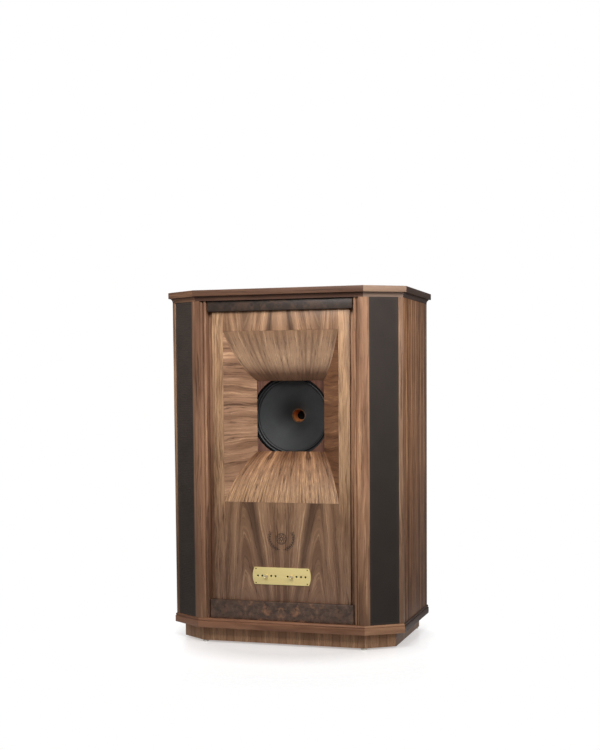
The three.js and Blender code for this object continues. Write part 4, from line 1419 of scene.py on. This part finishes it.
# Name, two tones, scale of the pattern, roughness, relief, metallic.
SPECKLED = (
    ("black_rubber", (16, 16, 17), (26, 26, 27), 260, 0.5),
    ("copper", (214, 138, 82), (186, 112, 62), 60, 0.36, 0.05, 0.6),
    ("coil_former", (120, 84, 52), (90, 62, 40), 200, 0.5, 0.1, 0.3),
    ("turned_brass", (226, 212, 176), (208, 190, 150), 90, 0.3, 0.04, 0.6),
    ("brass_screw", (150, 124, 70), (120, 96, 52), 220, 0.4, 0.08, 1.0),
    ("black_steel", (40, 40, 42), (58, 58, 60), 240, 0.42, 0.08, 0.8),
    ("bakelite", (40, 24, 18), (58, 34, 24), 40, 0.3, 0.03),
    ("red_plastic", (128, 18, 14), (150, 26, 20), 120, 0.35, 0.04),
    ("black_plastic", 20, 32, 120, 0.35, 0.04),
    ("glide_nylon", (226, 222, 212), (212, 206, 194), 90, 0.4, 0.04),
    ("engraving", (44, 29, 23), (56, 38, 30), 300, 0.7),
    ("hammered_grey", (92, 96, 98), (70, 74, 76), 130, 0.4, 0.35, 0.6),
    ("spider_cloth", (172, 142, 84), (140, 112, 62), 600, 0.85, 0.4),
    ("magnet_paint", (60, 63, 66), (46, 49, 52), 110, 0.45, 0.1, 0.3),
    ("dome_alloy", (200, 202, 204), (176, 178, 180), 200, 0.3, 0.05, 1.0),
)

# The finish of each CAD material slot, for the pieces inside.
SLOT_FINISHES = {
    "driver_metal": "hammered_grey", "black_rubber": "black_rubber", "cone_paper": "cone_paper",
    "spider_cloth": "spider_cloth", "copper": "copper", "magnet_iron": "magnet_paint",
    "diaphragm": "dome_alloy", "bakelite": "bakelite", "brass": "brass", "glide": "glide_nylon",
    "red_cap": "red_plastic", "black_cap": "black_plastic",
}


def grille_metal_painted_light(side, tone):
    # tone lightens or darkens the copy for one side: painted light and shade.
    base, spot = shaded((60, 52, 47), tone), shaded((70, 61, 55), tone)
    return speckled(f"grille_metal_painted_light_{side}", base, spot, 200, 0.65, 0.06, Specular_IOR_Level=0.2)


def main():
    wood = {name: walnut(f"walnut_{name}", tone, seed, **more) for name, tone, seed, more in WOODS}
    # The top rail's copy is darkened as painted shade under the cap, and the bottom rail's copy is lightened
    # as painted light.
    burr = {end: burr_walnut(f"burr_walnut_{end}", shade) for end, shade in (("top", 0.7), ("bottom", 1.27))}
    finishes = {row[0]: speckled(*row) for row in SPECKLED}
    finishes["black_paint"] = speckled("black_paint", 7, 12, 300, 0.9, Specular_IOR_Level=0.1)
    finishes["brass"] = brass()
    finishes["cone_paper"] = cone_paper(middle("cone"))
    # The left grille's copy is lighter and the right's darker: painted light and shade.
    grilles = {side: grille_metal_painted_light(side, tone) for side, tone in (("left", 1.1), ("right", 0.9))}
    ply = plywood()

    add_cap(wood)
    add_base(wood)
    add_glides(finishes["glide_nylon"])
    add_body(wood, ply)
    add_rails(burr)
    add_grilles(grilles, cloth())
    add_horn(wood)
    add_baffle(wood)
    add_driver_board(wood, finishes["black_paint"])
    add_driver(finishes)
    add_control_plate(finishes)
    for side, _ in SIDES:
        add_thumbscrew(side, finishes)
    add_ornament(finishes["engraving"])
    add_back(finishes)
    finish_inside({
        **{slot: finishes[name] for slot, name in SLOT_FINISHES.items()},
        "plywood": ply,
        "walnut": wood["side"],
        "walnut_veneer": wood["flare_top"],
        "burr_walnut": burr["top"],
        "grille": grilles["left"],
    })
    add_floor()
    add_world()
    add_lamps()
    SCENE.view_settings.view_transform = "Standard"


main()

plain = lambda box: [[float(v) for v in corner] for corner in box]
{"cad": plain(cad_box), "visual": plain(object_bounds())}
